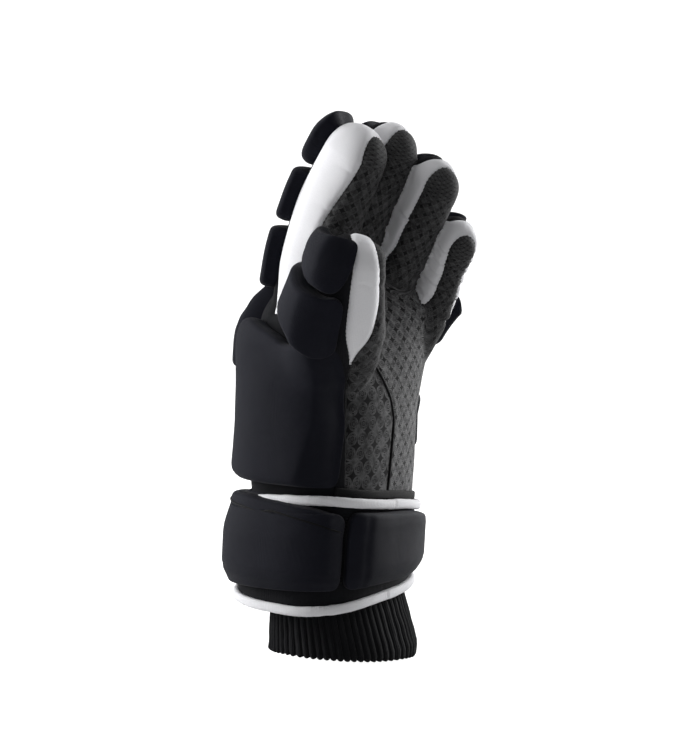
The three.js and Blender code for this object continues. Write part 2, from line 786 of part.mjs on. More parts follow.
// The tape that binds the palm's hem shows just above the gauntlet.
const HEM_TAPE = 4;
const HEM_REACH = { from: -47, to: 84 };
const hemFoot = (share) =>
  upperRim(rad(HEM_REACH.from + (HEM_REACH.to - HEM_REACH.from) * share)) +
  TAPE_HEIGHT / 2 +
  CLEARANCE;
const hemStrip = pad(handSurface, {
  ...HEM_REACH,
  lower: hemFoot,
  upper: (share) => hemFoot(share) + HEM_TAPE,
  thick: BINDING,
  bevel: { side: 0.01, end: 0.2 },
  across: 6,
});
add("hem_tape", fitted(hemStrip, padded), CLOTH_BLACK);

// The ribbed cuff reaches up inside the gauntlet to the hem of the hand.
const RIB_DEPTH = 0.7;
const MOUTH_SLANT = { height: 3.9, highest: -100 };
const mouthEdge = (angle) => MOUTH_SLANT.height * Math.cos(angle - rad(MOUTH_SLANT.highest));
add(
  "knit_cuff",
  wall(cuffSurface, {
    sides: 2 * CUFF_RIBS,
    bottom: mouthEdge,
    top: () => HEM - CLEARANCE,
    inside: -CUFF_WALL,
    outside: 0,
    rows: 2,
    wave: (angle) => (RIB_DEPTH / 2) * Math.cos(angle * CUFF_RIBS),
  }),
  RIB_KNIT,
);

export default glove;
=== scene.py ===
import math

import bpy
import numpy as np
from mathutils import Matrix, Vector, noise
from mathutils.bvhtree import BVHTree


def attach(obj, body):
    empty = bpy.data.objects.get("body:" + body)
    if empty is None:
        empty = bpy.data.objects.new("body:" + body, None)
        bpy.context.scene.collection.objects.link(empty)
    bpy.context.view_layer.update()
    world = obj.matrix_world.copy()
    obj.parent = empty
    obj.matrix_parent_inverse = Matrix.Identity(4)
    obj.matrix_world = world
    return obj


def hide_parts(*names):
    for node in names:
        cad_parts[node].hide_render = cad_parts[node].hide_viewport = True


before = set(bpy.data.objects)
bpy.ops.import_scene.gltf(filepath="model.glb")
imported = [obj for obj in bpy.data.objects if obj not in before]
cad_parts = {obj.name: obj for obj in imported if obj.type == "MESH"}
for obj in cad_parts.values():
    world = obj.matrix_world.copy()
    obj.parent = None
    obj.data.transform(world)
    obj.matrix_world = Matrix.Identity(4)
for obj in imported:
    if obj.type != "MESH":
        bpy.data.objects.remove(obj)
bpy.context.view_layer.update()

# Camera: a long lens that looks at the glove from the thumb's side, almost level, so that the
# padded side of the hand and a narrow view of the palm both show.
VIEW_AZIMUTH = math.radians(-55)
VIEW_ELEVATION = math.radians(4)
VIEW_DISTANCE = 1.1
VIEW_LENS = 105.6
VIEW_SHIFT = (-0.004, 0.012)
view_target = Vector((0, 0, 0.135))
view_back = Vector((
    math.sin(VIEW_AZIMUTH) * math.cos(VIEW_ELEVATION),
    -math.cos(VIEW_AZIMUTH) * math.cos(VIEW_ELEVATION),
    math.sin(VIEW_ELEVATION),
))
camera_data = bpy.data.cameras.new("product_camera")
camera_data.sensor_width = 36
camera_data.lens = VIEW_LENS
camera_data.shift_x, camera_data.shift_y = VIEW_SHIFT
camera = bpy.data.objects.new("product_camera", camera_data)
bpy.context.scene.collection.objects.link(camera)
camera.location = view_target + view_back * VIEW_DISTANCE
camera.rotation_mode = "QUATERNION"
camera.rotation_quaternion = (-view_back).to_track_quat("-Z", "Y")
bpy.context.scene.camera = camera

# Studio: a plain pale floor and backdrop in one sweep, a large soft light on the side of the
# hand's back, one on the palm's side that leaves little shine, and a weak one from above.
def add_node(tree, kind, inputs=None, **settings):
    made = tree.nodes.new(kind)
    for key, value in settings.items():
        setattr(made, key, value)
    for key, value in (inputs or {}).items():
        if isinstance(value, bpy.types.NodeSocket):
            tree.links.new(value, made.inputs[key])
        else:
            made.inputs[key].default_value = value
    return made


MILLIMETRE = 0.001
METRE = 1000


def mesh_piece(name, points, faces):
    # A smooth piece from points in millimetres.
    mesh = bpy.data.meshes.new(name)
    mesh.from_pydata((np.asarray(points, float) * MILLIMETRE).tolist(), [], faces)
    mesh.validate()
    mesh.polygons.foreach_set("use_smooth", [True] * len(mesh.polygons))
    piece = bpy.data.objects.new(name, mesh)
    bpy.context.scene.collection.objects.link(piece)
    return piece


FLOOR_LEVEL = -5.0
FLOOR_REACH = 4000
SWEEP_START = 1300
SWEEP_RADIUS = 900
sweep = [(y, FLOOR_LEVEL) for y in (-FLOOR_REACH, -1200, SWEEP_START)]
sweep += [
    (SWEEP_START + SWEEP_RADIUS * math.sin(turn), FLOOR_LEVEL + SWEEP_RADIUS * (1 - math.cos(turn)))
    for turn in np.radians(np.arange(6, 91, 6))
]
sweep += [(SWEEP_START + SWEEP_RADIUS, FLOOR_REACH)]
away = -view_back.xy.normalized()
across = Vector((away.y, -away.x))
floor_points = [
    (*(away * y + across * side), z) for y, z in sweep for side in (-FLOOR_REACH, FLOOR_REACH)
]
floor_faces = [(2 * i, 2 * i + 1, 2 * i + 3, 2 * i + 2) for i in range(len(sweep) - 1)]
floor = mesh_piece("studio_floor", floor_points, floor_faces)


def glow(tree, socket, fill):
    # White to the camera, while only the share called fill lights the glove.
    path = add_node(tree, "ShaderNodeLightPath")
    strength = add_node(tree, "ShaderNodeMapRange", {
        "Value": path.outputs["Is Camera Ray"], "To Min": fill, "To Max": 1.0,
    })
    tree.links.new(strength.outputs["Result"], socket)


floor_paper = bpy.data.materials.new("studio_paper")
floor_paper.use_nodes = True
floor_shader = floor_paper.node_tree.nodes["Principled BSDF"]
floor_shader.inputs["Base Color"].default_value = (0.4, 0.4, 0.4, 1)
floor_shader.inputs["Roughness"].default_value = 0.9
floor_shader.inputs["Emission Color"].default_value = (1, 1, 1, 1)
glow(floor_paper.node_tree, floor_shader.inputs["Emission Strength"], 0.1)
floor.data.materials.append(floor_paper)

world = bpy.data.worlds.new("studio_air")
bpy.context.scene.world = world
world.use_nodes = True
air = world.node_tree.nodes["Background"]
air.inputs["Color"].default_value = (1, 1, 1, 1)
glow(world.node_tree, air.inputs["Strength"], 0.25)
bpy.context.scene.view_settings.view_transform = "Standard"

view_right = Vector((-view_back.y, view_back.x, 0)).normalized()
LIGHTS = (
    # name, towards the camera, to its right, up, side of the light in metres, watts, shine
    ("soft_light_back_of_hand", -0.1, -1.4, 0.45, 0.8, 28.0, 1.0),
    ("soft_light_palm", -0.9, 1.15, 0.45, 0.8, 32.0, 0.15),
    ("soft_light_above", 0.0, -0.1, 1.5, 1.1, 6.0, 1.0),
)
for name, toward, right, up, size, watts, shine in LIGHTS:
    lamp = bpy.data.lights.new(name, "AREA")
    lamp.size = size
    lamp.energy = watts
    lamp.specular_factor = shine
    holder = bpy.data.objects.new(name, lamp)
    bpy.context.scene.collection.objects.link(holder)
    place = view_back * toward + view_right * right + Vector((0, 0, up))
    holder.location = view_target + place
    holder.rotation_mode = "QUATERNION"
    holder.rotation_quaternion = (-place).to_track_quat("-Z", "Y")

# Cloth of the hand: palm, back and digits are one fitted skin of thin cloth. It is formed here in
# one go, as ovals for the hand and a bent tube for each digit, and cut into its panels afterwards.
HAND_OVALS = np.array([
    # height, centre x, centre y, half width, half depth, tilt in degrees
    (60, -3.6, 4, 43.3, 32, 0),
    (76, -2.6, 4.5, 44.3, 33, 0),
    (92, -2.1, 5, 46.3, 34.5, 2),
    (118, -1.5, 3.5, 46, 34.5, 4),
    (140, -1, 1.5, 47, 34.5, 0),
    (158, 0, 0, 47, 34, -10),
    (172, 1, -3, 45, 30, -20),
    (184, -3, -4, 35, 22, -25),
    (193, -8, -4, 23, 14, -25),
], float)
BODY_SQUARENESS = 2.5
DIGITS = {
    # turn of the palm side, reach of the rounded tip, rows of x, y, z, half width, half depth
    "index": (0, 15, [
        (-27, 3, 158, 15, 19),
        (-27.5, 0, 180, 14.5, 19),
        (-27.5, -4, 200, 14, 18.5),
        (-27, -9.5, 218, 13.5, 18),
        (-26.5, -16.5, 233, 13, 17.5),
        (-26, -24.5, 248, 12.5, 16.5),
    ]),
    "middle": (12, 13, [
        (-8, -4, 158, 12.5, 18),
        (-7, -6, 182, 12.5, 18),
        (-6, -7.5, 204, 12, 16.3),
        (-5, -14, 224, 12, 16),
        (-4, -24, 241, 11.5, 15.8),
        (-4, -30, 251, 11, 15),
    ]),
    "ring": (25, 12, [
        (9, -9, 158, 12, 17),
        (11, -14.5, 180, 12, 16),
        (12, -24, 198, 11.5, 15.6),
        (11, -32.5, 212, 11.5, 15.5),
        (8.5, -42, 225, 11.3, 15),
        (5.5, -50, 234.5, 10.8, 14),
    ]),
    "little": (30, 11, [
        (27, -14, 142, 10, 12),
        (30.5, -24, 165, 11.5, 15.5),
        (31, -32.5, 181, 11, 15),
        (28, -39.5, 193, 10.5, 14.5),
        (24, -47, 201.5, 10.5, 13.5),
        (21, -52.5, 206.5, 10, 12.5),
    ]),
    "thumb": (-45, 12, [
        (-22, -6, 116, 9, 10),
        (-28, -12.5, 133, 11, 14),
        (-35.5, -20.5, 149, 12.5, 20.5),
        (-42.5, -28, 165, 14.5, 22),
        (-47, -35, 182, 14.5, 18),
        (-50, -41, 198, 13, 15),
    ]),
}
DIGIT_SQUARENESS = 2.3


def squared(value, power):
    # A sine or cosine made fuller, so that a round form becomes a squarer one.
    return np.sign(value) * np.abs(value) ** power


def oval(angle, half_width, half_depth, squareness):
    power = 2 / squareness
    return squared(np.sin(angle), power) * half_width, squared(np.cos(angle), power) * half_depth


def level_form(ovals, squareness):
    # A place on level ovals, from its angle round them (0 faces the palm side) and its height.
    def form(angle, z, grow=0.0):
        x, y, wide, deep, tilt = (np.interp(z, ovals[:, 0], ovals[:, i]) for i in range(1, 6))
        side, front = oval(angle, wide + grow, deep + grow, squareness)
        tilt = np.radians(tilt)
        return np.stack([
            x + side * np.cos(tilt) + front * np.sin(tilt),
            y + side * np.sin(tilt) - front * np.cos(tilt),
            z + 0 * side,
        ], -1)
    return form


def bent_axis(points, share):
    # The smooth line through a digit's centres, and the way that it runs there.
    place = min(max(share, 0.0), 1.0) * (len(points) - 1)
    i = min(int(place), len(points) - 2)
    s = place - i
    b, c = points[i], points[i + 1]
    a = points[i - 1] if i > 0 else 2 * b - c
    d = points[i + 2] if i + 2 < len(points) else 2 * c - b
    u, v, w = (math.sqrt(np.linalg.norm(q)) for q in (b - a, c - b, d - c))
    start = ((b - a) / u - (c - a) / (u + v) + (c - b) / v) * v
    end = ((c - b) / v - (d - b) / (v + w) + (d - c) / w) * v
    square, cube = 3 * (c - b) - 2 * start - end, 2 * (b - c) + start + end
    return b + start * s + square * s**2 + cube * s**3, start + 2 * square * s + 3 * cube * s**2


AXIS_SHARES = np.linspace(0, 1, 121)
digit_axes = {}
for name, (turn, reach, rows) in DIGITS.items():
    rows = np.array(rows, float)
    side = np.array([math.cos(math.radians(turn)), -math.sin(math.radians(turn)), 0])
    lines = {"centre": [], "ahead": [], "across": [], "forward": []}
    for share in AXIS_SHARES:
        centre, ahead = bent_axis(rows[:, :3], share)
        ahead = ahead / np.linalg.norm(ahead)
        across_digit = side - ahead * (side @ ahead)
        across_digit /= np.linalg.norm(across_digit)
        for key, value in zip(lines, (centre, ahead, across_digit, np.cross(across_digit, ahead))):
            lines[key].append(value)
    axis = {key: np.array(value) for key, value in lines.items()}
    stations = np.linspace(0, 1, len(rows))
    axis["wide"] = np.interp(AXIS_SHARES, stations, rows[:, 3])
    axis["deep"] = np.interp(AXIS_SHARES, stations, rows[:, 4])
    axis["reach"] = reach
    axis["length"] = np.linalg.norm(np.diff(axis["centre"], axis=0), axis=1).sum()
    digit_axes[name] = axis


def along_axis(axis, key, share):
    # What the digit's line says there: a width, or a place or way in three numbers.
    value = axis[key]
    if value.ndim == 1:
        return np.interp(share, AXIS_SHARES, value)
    return np.stack([np.interp(share, AXIS_SHARES, value[:, i]) for i in range(3)], -1)


def digit_form(name):
    # A place on a digit: its angle round it (0 is its palm side) and its share of the length,
    # where 1 to 2 goes over the rounded tip.
    axis = digit_axes[name]

    def form(angle, share):
        angle, share = np.broadcast_arrays(angle, share)
        at = np.clip(share, 0, 1)
        over = np.radians(90) * np.clip(share - 1, 0, 1)
        side, front = oval(
            angle,
            along_axis(axis, "wide", at) * np.cos(over),
            along_axis(axis, "deep", at) * np.cos(over),
            DIGIT_SQUARENESS,
        )
        rise = axis["reach"] * np.sin(over)
        return (
            along_axis(axis, "centre", at)
            + along_axis(axis, "ahead", at) * rise[..., None]
            + along_axis(axis, "across", at) * side[..., None]
            + along_axis(axis, "forward", at) * front[..., None]
        )
    return form


hand_form = level_form(HAND_OVALS, BODY_SQUARENESS)
digit_forms = {name: digit_form(name) for name in DIGITS}


def full_turn(count):
    return np.linspace(0, 2 * np.pi, count, endpoint=False)


def ring_faces(rings, sides):
    faces = []
    for i in range(rings - 1):
        for k in range(sides):
            n = (k + 1) % sides
            faces.append((i * sides + k, i * sides + n, (i + 1) * sides + n, (i + 1) * sides + k))
    return faces


def closed_loft(rings):
    # Points and faces of a tube through the rings, with both ends shut.
    count, sides = rings.shape[:2]
    faces = ring_faces(count, sides)
    faces.append(tuple(reversed(range(sides))))
    faces.append(tuple(range((count - 1) * sides, count * sides)))
    return rings.reshape(-1, 3), faces


SKIN_FOOT = 62
CROWN_START = 193
CROWN_TOP = 196
CROWN_SHRINK = 9
round_hand = full_turn(96)
hand_heights = np.arange(SKIN_FOOT, CROWN_START + 0.5, 1.0)
hand_rings = hand_form(round_hand[None, :], hand_heights[:, None])
easing = np.array([1, 2, 3, 4, 3, 2, 1], float) / 16
padded_rings = np.pad(hand_rings, ((3, 3), (0, 0), (0, 0)), "edge")
hand_rings[:, :, :2] = sum(
    weight * padded_rings[i : i + len(hand_rings), :, :2] for i, weight in enumerate(easing)
)
crown = hand_form(round_hand, CROWN_START + 0 * round_hand, -CROWN_SHRINK)
crown[:, 2] = CROWN_TOP
hand_rings = np.concatenate([hand_rings, crown[None]])
digit_shares = np.concatenate([np.linspace(0, 1, 50), 1 + np.linspace(0.06, 0.97, 14)])
digit_rings = [form(full_turn(56)[None, :], digit_shares[:, None]) for form in digit_forms.values()]
form_points, form_faces = [], []
for rings in [hand_rings, *digit_rings]:
    points, faces = closed_loft(rings)
    base = sum(len(part) for part in form_points)
    form_points.append(points)
    form_faces += [tuple(i + base for i in face) for face in faces]
blank = mesh_piece("skin_blank", np.concatenate(form_points), form_faces)
SKIN_FINENESS = 1.0 * MILLIMETRE
fuse = blank.modifiers.new("fuse", "REMESH")
fuse.mode = "VOXEL"
fuse.voxel_size = SKIN_FINENESS
soften = blank.modifiers.new("soften", "SMOOTH")
soften.factor = 0.5
soften.iterations = 7
fused = bpy.data.meshes.new_from_object(
    blank.evaluated_get(bpy.context.evaluated_depsgraph_get())
)
skin = np.zeros(len(fused.vertices) * 3)
fused.vertices.foreach_get("co", skin)
skin = skin.reshape(-1, 3) * METRE
fused.calc_loop_triangles()
corners = np.zeros(len(fused.loop_triangles) * 3, int)
fused.loop_triangles.foreach_get("vertices", corners)
corners = corners.reshape(-1, 3)
bpy.data.objects.remove(blank)


def skin_normals(points, triangles):
    # The way out of the skin at each point.
    a, b, c = (points[triangles[:, i]] for i in range(3))
    facing = np.cross(b - a, c - a)
    total = np.zeros_like(points)
    for i in range(3):
        np.add.at(total, triangles[:, i], facing)
    return total / np.maximum(np.linalg.norm(total, axis=1, keepdims=True), 1e-12)


# Every point of the skin learns which digit it belongs to, and its place on that digit.
AT_ONCE = 4000
BELOW_ROOT = 50


def oval_size(side, front, squareness):
    # 1 on an oval's line, less inside it and more outside.
    return (np.abs(side) ** squareness + np.abs(front) ** squareness) ** (1 / squareness)


def place_on_digit(name, points):
    axis = digit_axes[name]
    nearest = np.zeros(len(points), int)
    for start in range(0, len(points), AT_ONCE):
        part = points[start : start + AT_ONCE]
        gap = ((part[:, None] - axis["centre"][None]) ** 2).sum(-1)
        nearest[start : start + AT_ONCE] = gap.argmin(1)
    offset = points - axis["centre"][nearest]
    ahead = (offset * axis["ahead"][nearest]).sum(-1)
    side = (offset * axis["across"][nearest]).sum(-1)
    front = (offset * axis["forward"][nearest]).sum(-1)
    last = nearest == len(AXIS_SHARES) - 1
    over = np.where(last, np.arcsin(np.clip(ahead / axis["reach"], 0, 1)), 0)
    share = AXIS_SHARES[nearest] + np.where(last, over / (np.pi / 2), ahead / axis["length"])
    wide, deep = axis["wide"][nearest], axis["deep"][nearest]
    size = oval_size(side / wide, front / deep, DIGIT_SQUARENESS)
    size = np.where(last, np.hypot(size, np.maximum(ahead, 0) / axis["reach"]), size)
    off = (size - 1) * (wide + deep) / 2
    gap = np.abs(size - 1) * (wide + deep) / 2
    gap = gap + np.where((nearest == 0) & (ahead < -1), BELOW_ROOT, 0)
    angle = np.arctan2(side / wide, front / deep)
    return {"share": share, "front": front, "gap": gap, "angle": angle, "off": off}


HAND_RADIUS = 38
x, y, z = skin.T
ox, oy, wide, deep, tilt = (np.interp(z, HAND_OVALS[:, 0], HAND_OVALS[:, i]) for i in range(1, 6))
tilt = np.radians(tilt)
hand_side = (x - ox) * np.cos(tilt) + (y - oy) * np.sin(tilt)
hand_front = (x - ox) * np.sin(tilt) - (y - oy) * np.cos(tilt)
hand_size = oval_size(hand_side / wide, hand_front / deep, BODY_SQUARENESS)
hand_gap = np.abs(hand_size - 1) * HAND_RADIUS + np.maximum(z - CROWN_START, 0) * 2
hand_angle = np.arctan2(hand_side / wide, hand_front / deep)
places = {name: place_on_digit(name, skin) for name in DIGITS}
digit_names = list(DIGITS)
digit_gaps = np.stack([places[name]["gap"] for name in digit_names])
owner = digit_gaps.argmin(0)


def of_owner(key):
    return np.stack([places[name][key] for name in digit_names])[owner, np.arange(len(skin))]


def eased(value):
    value = np.clip(value, 0, 1)
    return value * value * (3 - 2 * value)


ROOT_BLEND = 5
on_digit = eased((hand_gap - digit_gaps.min(0)) / ROOT_BLEND + 0.5)
share, front, digit_angle = of_owner("share"), of_owner("front"), of_owner("angle")
CURVE_STEPS = 200


def curve(rows, reach=0.06):
    # A soft line through pairs of share and value, eased over the reach to both sides.
    rows = np.array(rows, float)
    fine = np.linspace(-0.2, 2.2, int(2.4 * CURVE_STEPS) + 1)
    values = np.interp(fine, rows[:, 0], rows[:, 1])
    wide = max(int(reach * CURVE_STEPS), 1)
    window = np.hanning(2 * wide + 3)[1:-1]
    values = np.convolve(np.pad(values, wide, "edge"), window / window.sum(), "valid")
    return lambda share: np.interp(share, fine, values)


# Where the stretch gusset of each digit lies: share of the length, back and front edge in
# millimetres off the digit's middle, towards the palm side.
GUSSETS = {
    "index": [(0.1, -11, -8), (0.35, -15.5, 4), (0.6, -15.5, 7), (0.75, -15.3, 9.2),
              (0.88, -14.5, 11.2), (1, -13.5, 12), (1.3, -12, 10), (2, -9, 5)],
    "middle": [(0.36, -1, 2), (0.5, -9, 7), (1, -10, 6), (2, -6, 2)],
    "ring": [(0.26, -3, 2), (0.5, -9, 8), (1, -9, 6), (2, -5, 1)],
    "little": [(0.2, -5, 7), (0.3, -7, 10), (0.45, -8, 12.5), (0.7, -8, 12), (1, -8, 9),
               (2, -5, 3)],
    "thumb": [(0.47, 4, 4.5), (0.53, 3.5, 5.5), (0.64, 0, 14), (0.8, -1, 15), (1, -2, 12),
              (2, -4, 6)],
}
SIDE_SEAMS = np.array([
    # height, place of the thumb's side seam in x and y, depth of the little finger's side seam
    (50, -34, -25, -12),
    (82, -34, -25, -14),
    (120, -38, -28, -17),
    (152, -40, -30, -24),
    (176, -40, -14, -37),
    (300, -40, -14, -37),
], float)
# How deep each point lies inside a gusset, and how far on the palm's side of the seams, in
# millimetres. A gusset narrows to its lower end, and takes in no point far off its digit.
POINTEDNESS = 0.6
OFF_DIGIT = 1.3
gusset_depths = []
digit_front = np.zeros(len(skin))
for i, name in enumerate(digit_names):
    rows = np.array(GUSSETS[name], float)
    place = places[name]
    back_edge = curve(rows[:, [0, 1]], 0.1)(place["share"])
    front_edge = curve(rows[:, [0, 2]], 0.1)(place["share"])
    inside = np.minimum(place["front"] - back_edge, front_edge - place["front"])
    from_end = (place["share"] - rows[0, 0]) * digit_axes[name]["length"]
    inside = np.minimum(inside, from_end * POINTEDNESS)
    gusset_depths.append(np.minimum(inside, (OFF_DIGIT - place["off"]) * 2.5))
    middle_line = place["front"] - (back_edge + front_edge) / 2
    digit_front = np.where(owner == i, middle_line, digit_front)
gusset_depth = np.max(gusset_depths, 0)
gusset_owner = np.argmax(gusset_depths, 0)
seam_x, seam_y, little_y = (np.interp(z, SIDE_SEAMS[:, 0], SIDE_SEAMS[:, i]) for i in (1, 2, 3))
thumb_front = 0.57 * (x - seam_x) - 0.82 * (y - seam_y)
hand_palm = np.where(x < 0, thumb_front, little_y - y)
# Between the roots of the fingers the palm cloth meets the back cloth half way through the hand.
WEB_START = 158
WEB_HEIGHT = 12
web_y = np.interp(x, [-45, -30, -10, 10, 25, 38, 46], [-10, -3, -8, -16, -24, -33, -37])
web = eased((z - WEB_START) / WEB_HEIGHT)
hand_palm = (1 - web) * hand_palm + web * (web_y - y)
palm_depth = (1 - on_digit) * hand_palm + on_digit * digit_front

# Cut-out coordinates of the cloth in millimetres, for prints and weaves: round the hand and up it,
# carried on over each digit without a break at its root.
HAND_GIRTH = 40.0
DIGIT_GIRTH = 14.0
HALF_HAND = (45, 33)
ROOT = 36
THUMB_ROOT = 0.43
THUMB_BLEND = 0.02
cut_u = hand_angle * HAND_GIRTH
cut_v = z.copy()
for i, name in enumerate(digit_names):
    axis = digit_axes[name]
    root = axis["centre"][ROOT] + axis["forward"][ROOT] * axis["deep"][ROOT]
    root_u = math.atan2(root[0] / HALF_HAND[0], -root[1] / HALF_HAND[1]) * HAND_GIRTH
    mine = owner == i
    carried = on_digit
    if name == "thumb":
        carried = eased((share - THUMB_ROOT) / THUMB_BLEND)
    along_u = root_u + digit_angle * DIGIT_GIRTH
    along_v = root[2] + (share - AXIS_SHARES[ROOT]) * axis["length"]
    cut_u = np.where(mine, (1 - carried) * cut_u + carried * along_u, cut_u)
    cut_v = np.where(mine, (1 - carried) * cut_v + carried * along_v, cut_v)

# The cut: points close to a seam line are moved onto it, so that every panel ends on its seam.
# The table holds what each point knows, and these are some of its columns.
HEM_HEIGHT = 76.5
IN_GUSSET, IN_PALM, CUT_U, CUT_V, ABOVE_HEM, PRINT_FADE = 3, 4, 5, 6, 7, 10
table = np.column_stack([
    skin, gusset_depth, palm_depth, cut_u, cut_v, z - HEM_HEIGHT,
    share, digit_angle, on_digit, front, hand_angle,
])


def sides_of(triangles):
    return np.concatenate([triangles[:, [0, 1]], triangles[:, [1, 2]], triangles[:, [2, 0]]])


pairs = np.unique(np.sort(sides_of(corners), axis=1), axis=0)
SNAPPING_ROUNDS = 7
settled = np.zeros(len(table), bool)
for column in (ABOVE_HEM, IN_GUSSET, IN_PALM):
    moved_here = np.zeros(len(table), bool)
    for _ in range(SNAPPING_ROUNDS):
        a, b = pairs.T
        value = table[:, column]
        crossing = value[a] * value[b] < 0
        if column == IN_PALM:
            crossing &= (table[a, IN_GUSSET] <= 0) & (table[b, IN_GUSSET] <= 0)
        a, b = a[crossing], b[crossing]
        part = value[a] / (value[a] - value[b])
        mover = np.where(part < 0.5, a, b)
        other = np.where(part < 0.5, b, a)
        part = np.minimum(part, 1 - part)
        swap = settled[mover]
        mover, other = np.where(swap, other, mover), np.where(swap, mover, other)
        part = np.where(swap, 1 - part, part)
        free = ~settled[mover]
        mover, other, part = mover[free], other[free], part[free]
        order = np.argsort(part, kind="stable")
        mover, other, part = mover[order], other[order], part[order]
        chosen, first = np.unique(mover, return_index=True)
        other, part = other[first], part[first]
        table[chosen] += (table[other] - table[chosen]) * part[:, None]
        table[chosen, column] = 0
        moved_here[chosen] = True
    settled |= moved_here
# The palm's cloth is pieced: a curved seam parts the ball of the thumb from the rest.
BALL_SEAM = np.array([
    # height, place round the hand in degrees
    (76, -2.3), (96, -2.3), (109, -2.3), (119, -2.6), (130, -6.8), (140, -15.1), (149, -20.2),
])
BALL_RADIUS = 46
FAR_OFF = 30
skin, gusset_depth, palm_depth = table[:, :3], table[:, IN_GUSSET], table[:, IN_PALM]
share, digit_angle, on_digit, front, hand_angle = table[:, 8:13].T
ball_line = np.radians(np.interp(skin[:, 2], BALL_SEAM[:, 0], BALL_SEAM[:, 1]))
off_ball_seam = (hand_angle - ball_line) * BALL_RADIUS
below_end = eased((BALL_SEAM[-1, 0] + 1 - skin[:, 2]) / 4) * (1 - on_digit) * (palm_depth > 0)
near_ball = np.abs(off_ball_seam) + FAR_OFF * (1 - below_end)

# Creases where the fingers bend, and a slack surface in between.
CREASES = {
    # shares of the length with a crease on the palm side, and how deep it is
    "index": ((0.42, 0.66, 0.92), 0.45),
    "middle": ((0.45, 0.68, 0.92), 0.45),
    "ring": ((0.4, 0.52, 0.7, 0.9), 0.9),
    "little": ((0.3, 0.42, 0.55, 0.68, 0.82, 1.0), 1.3),
    "thumb": ((0.55, 0.9), 0.3),
}


def hump(off, middle, width):
    # A soft ridge of height 1 along a line.
    return np.exp(-(((off - middle) / width) ** 2))


def waver(points, size, shift=(0, 0, 0)):
    # Smooth chance values between -1 and 1 that change over about the size in millimetres.
    return np.array([noise.noise(Vector(p) / size + Vector(shift)) for p in points.tolist()])


slack = waver(skin, 17)
wander = waver(skin, 7, (9, 4, 1))
sink = 0.35 * slack + 0.12 * wander
for i, name in enumerate(digit_names):
    shares_here, depth = CREASES[name]
    mine = (owner == i) * on_digit * eased((front + 2) / 6)
    length = digit_axes[name]["length"]
    for k, at in enumerate(shares_here):
        off = (share - at) * length + 2.2 * wander + 1.2 * np.sin(digit_angle * 2.5 + k)
        strength = 0.65 + 0.5 * math.sin(3.1 * k + i)
        fold = hump(off, 0, 1.3) - 0.55 * hump(off, 3.2, 2.2)
        sink += mine * depth * strength * fold
# The seams pull the cloth in.
sink += 0.5 * hump(near_ball, 0, 0.8) - 0.25 * hump(near_ball, 2.6, 1.6)
near_seam = np.where(gusset_depth < 0, np.abs(palm_depth), FAR_OFF)
near_seam = np.minimum(np.abs(gusset_depth), near_seam)
sink += 0.75 * hump(near_seam, 0, 1.2) - 0.22 * hump(near_seam, 3.5, 2)
skin_out = skin_normals(skin, corners)
table[:, :3] = skin - skin_out * sink[:, None]
# The ball of the thumb is a piece of the same cloth, and its print is a little larger. The print
# is fainter on the digits, and on the ball it fades towards the outer side as painted shade.
BALL_PRINT = ((0.7, 3), (0.66, 1))
on_ball = (off_ball_seam < 0) * below_end
for column, (scale, shift) in zip((CUT_U, CUT_V), BALL_PRINT):
    on_piece = table[:, column] * scale + shift
    table[:, column] = np.where(on_ball > 0.5, on_piece, table[:, column])
# Painted shade: the ball's print fades towards its outer side, the side that turns from the lamps.
ball_painted_shade = on_ball * np.clip(-off_ball_seam / 18, 0.3, 1) * 0.85
table[:, PRINT_FADE] = np.maximum(table[:, PRINT_FADE], ball_painted_shade)


def triangles_above(column):
    return table[corners, column].sum(1) > 0


kept = triangles_above(ABOVE_HEM)
in_gusset = kept & triangles_above(IN_GUSSET)
in_palm = kept & ~in_gusset & triangles_above(IN_PALM)
in_back = kept & ~in_gusset & ~in_palm
corner_owner = gusset_owner[corners[:, 0]]

# Palm panel: printed synthetic suede over the palm, the ball of the thumb and the front of every
# digit. It is cut from one cloth, and the ball is let in with a curved seam.
def open_edges(triangles):
    # The edges that only one triangle has.
    sides = sides_of(triangles).tolist()
    both_ways = {(a, b) for a, b in sides}
    return [(a, b) for a, b in sides if (b, a) not in both_ways]


def mark_cut(piece, flat):
    # Each point keeps its place on the flat cloth, which the weaves and the print follow.
    cut = piece.data.attributes.new("cut", "FLOAT_VECTOR", "POINT")
    if len(piece.data.vertices) == len(flat):
        cut.data.foreach_set("vector", flat.astype(np.float32).ravel())


PANEL_THICKNESS = 1.5


def skin_panel(name, chosen):
    # A panel is the outer face, the inner face a cloth's thickness below it, and the cut edge.
    used, index = np.unique(corners[chosen], return_inverse=True)
    index = index.reshape(-1, 3)
    count = len(used)
    outer = table[used, :3]
    points = np.concatenate([outer, outer - skin_out[used] * PANEL_THICKNESS])
    faces = index.tolist() + (index[:, ::-1] + count).tolist()
    faces += [(b, a, a + count, b + count) for a, b in open_edges(index)]
    panel = mesh_piece(name, points, faces)
    mark_cut(panel, np.tile(table[used][:, [CUT_U, CUT_V, PRINT_FADE]], (2, 1)))
    return panel


def sew_on(piece, material, node=None):
    # Every piece of the glove gets its cloth, rides on the one body, and stands for its CAD node.
    piece.data.materials.append(material)
    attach(piece, "root")
    if node is not None:
        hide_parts(node)


def new_group(name, inputs, outputs):
    tree = bpy.data.node_groups.new(name, "ShaderNodeTree")
    for label, kind, value in inputs:
        socket = tree.interface.new_socket(label, in_out="INPUT", socket_type=kind)
        if value is not None:
            socket.default_value = value
    for label, kind in outputs:
        tree.interface.new_socket(label, in_out="OUTPUT", socket_type=kind)
    return tree, add_node(tree, "NodeGroupInput"), add_node(tree, "NodeGroupOutput")


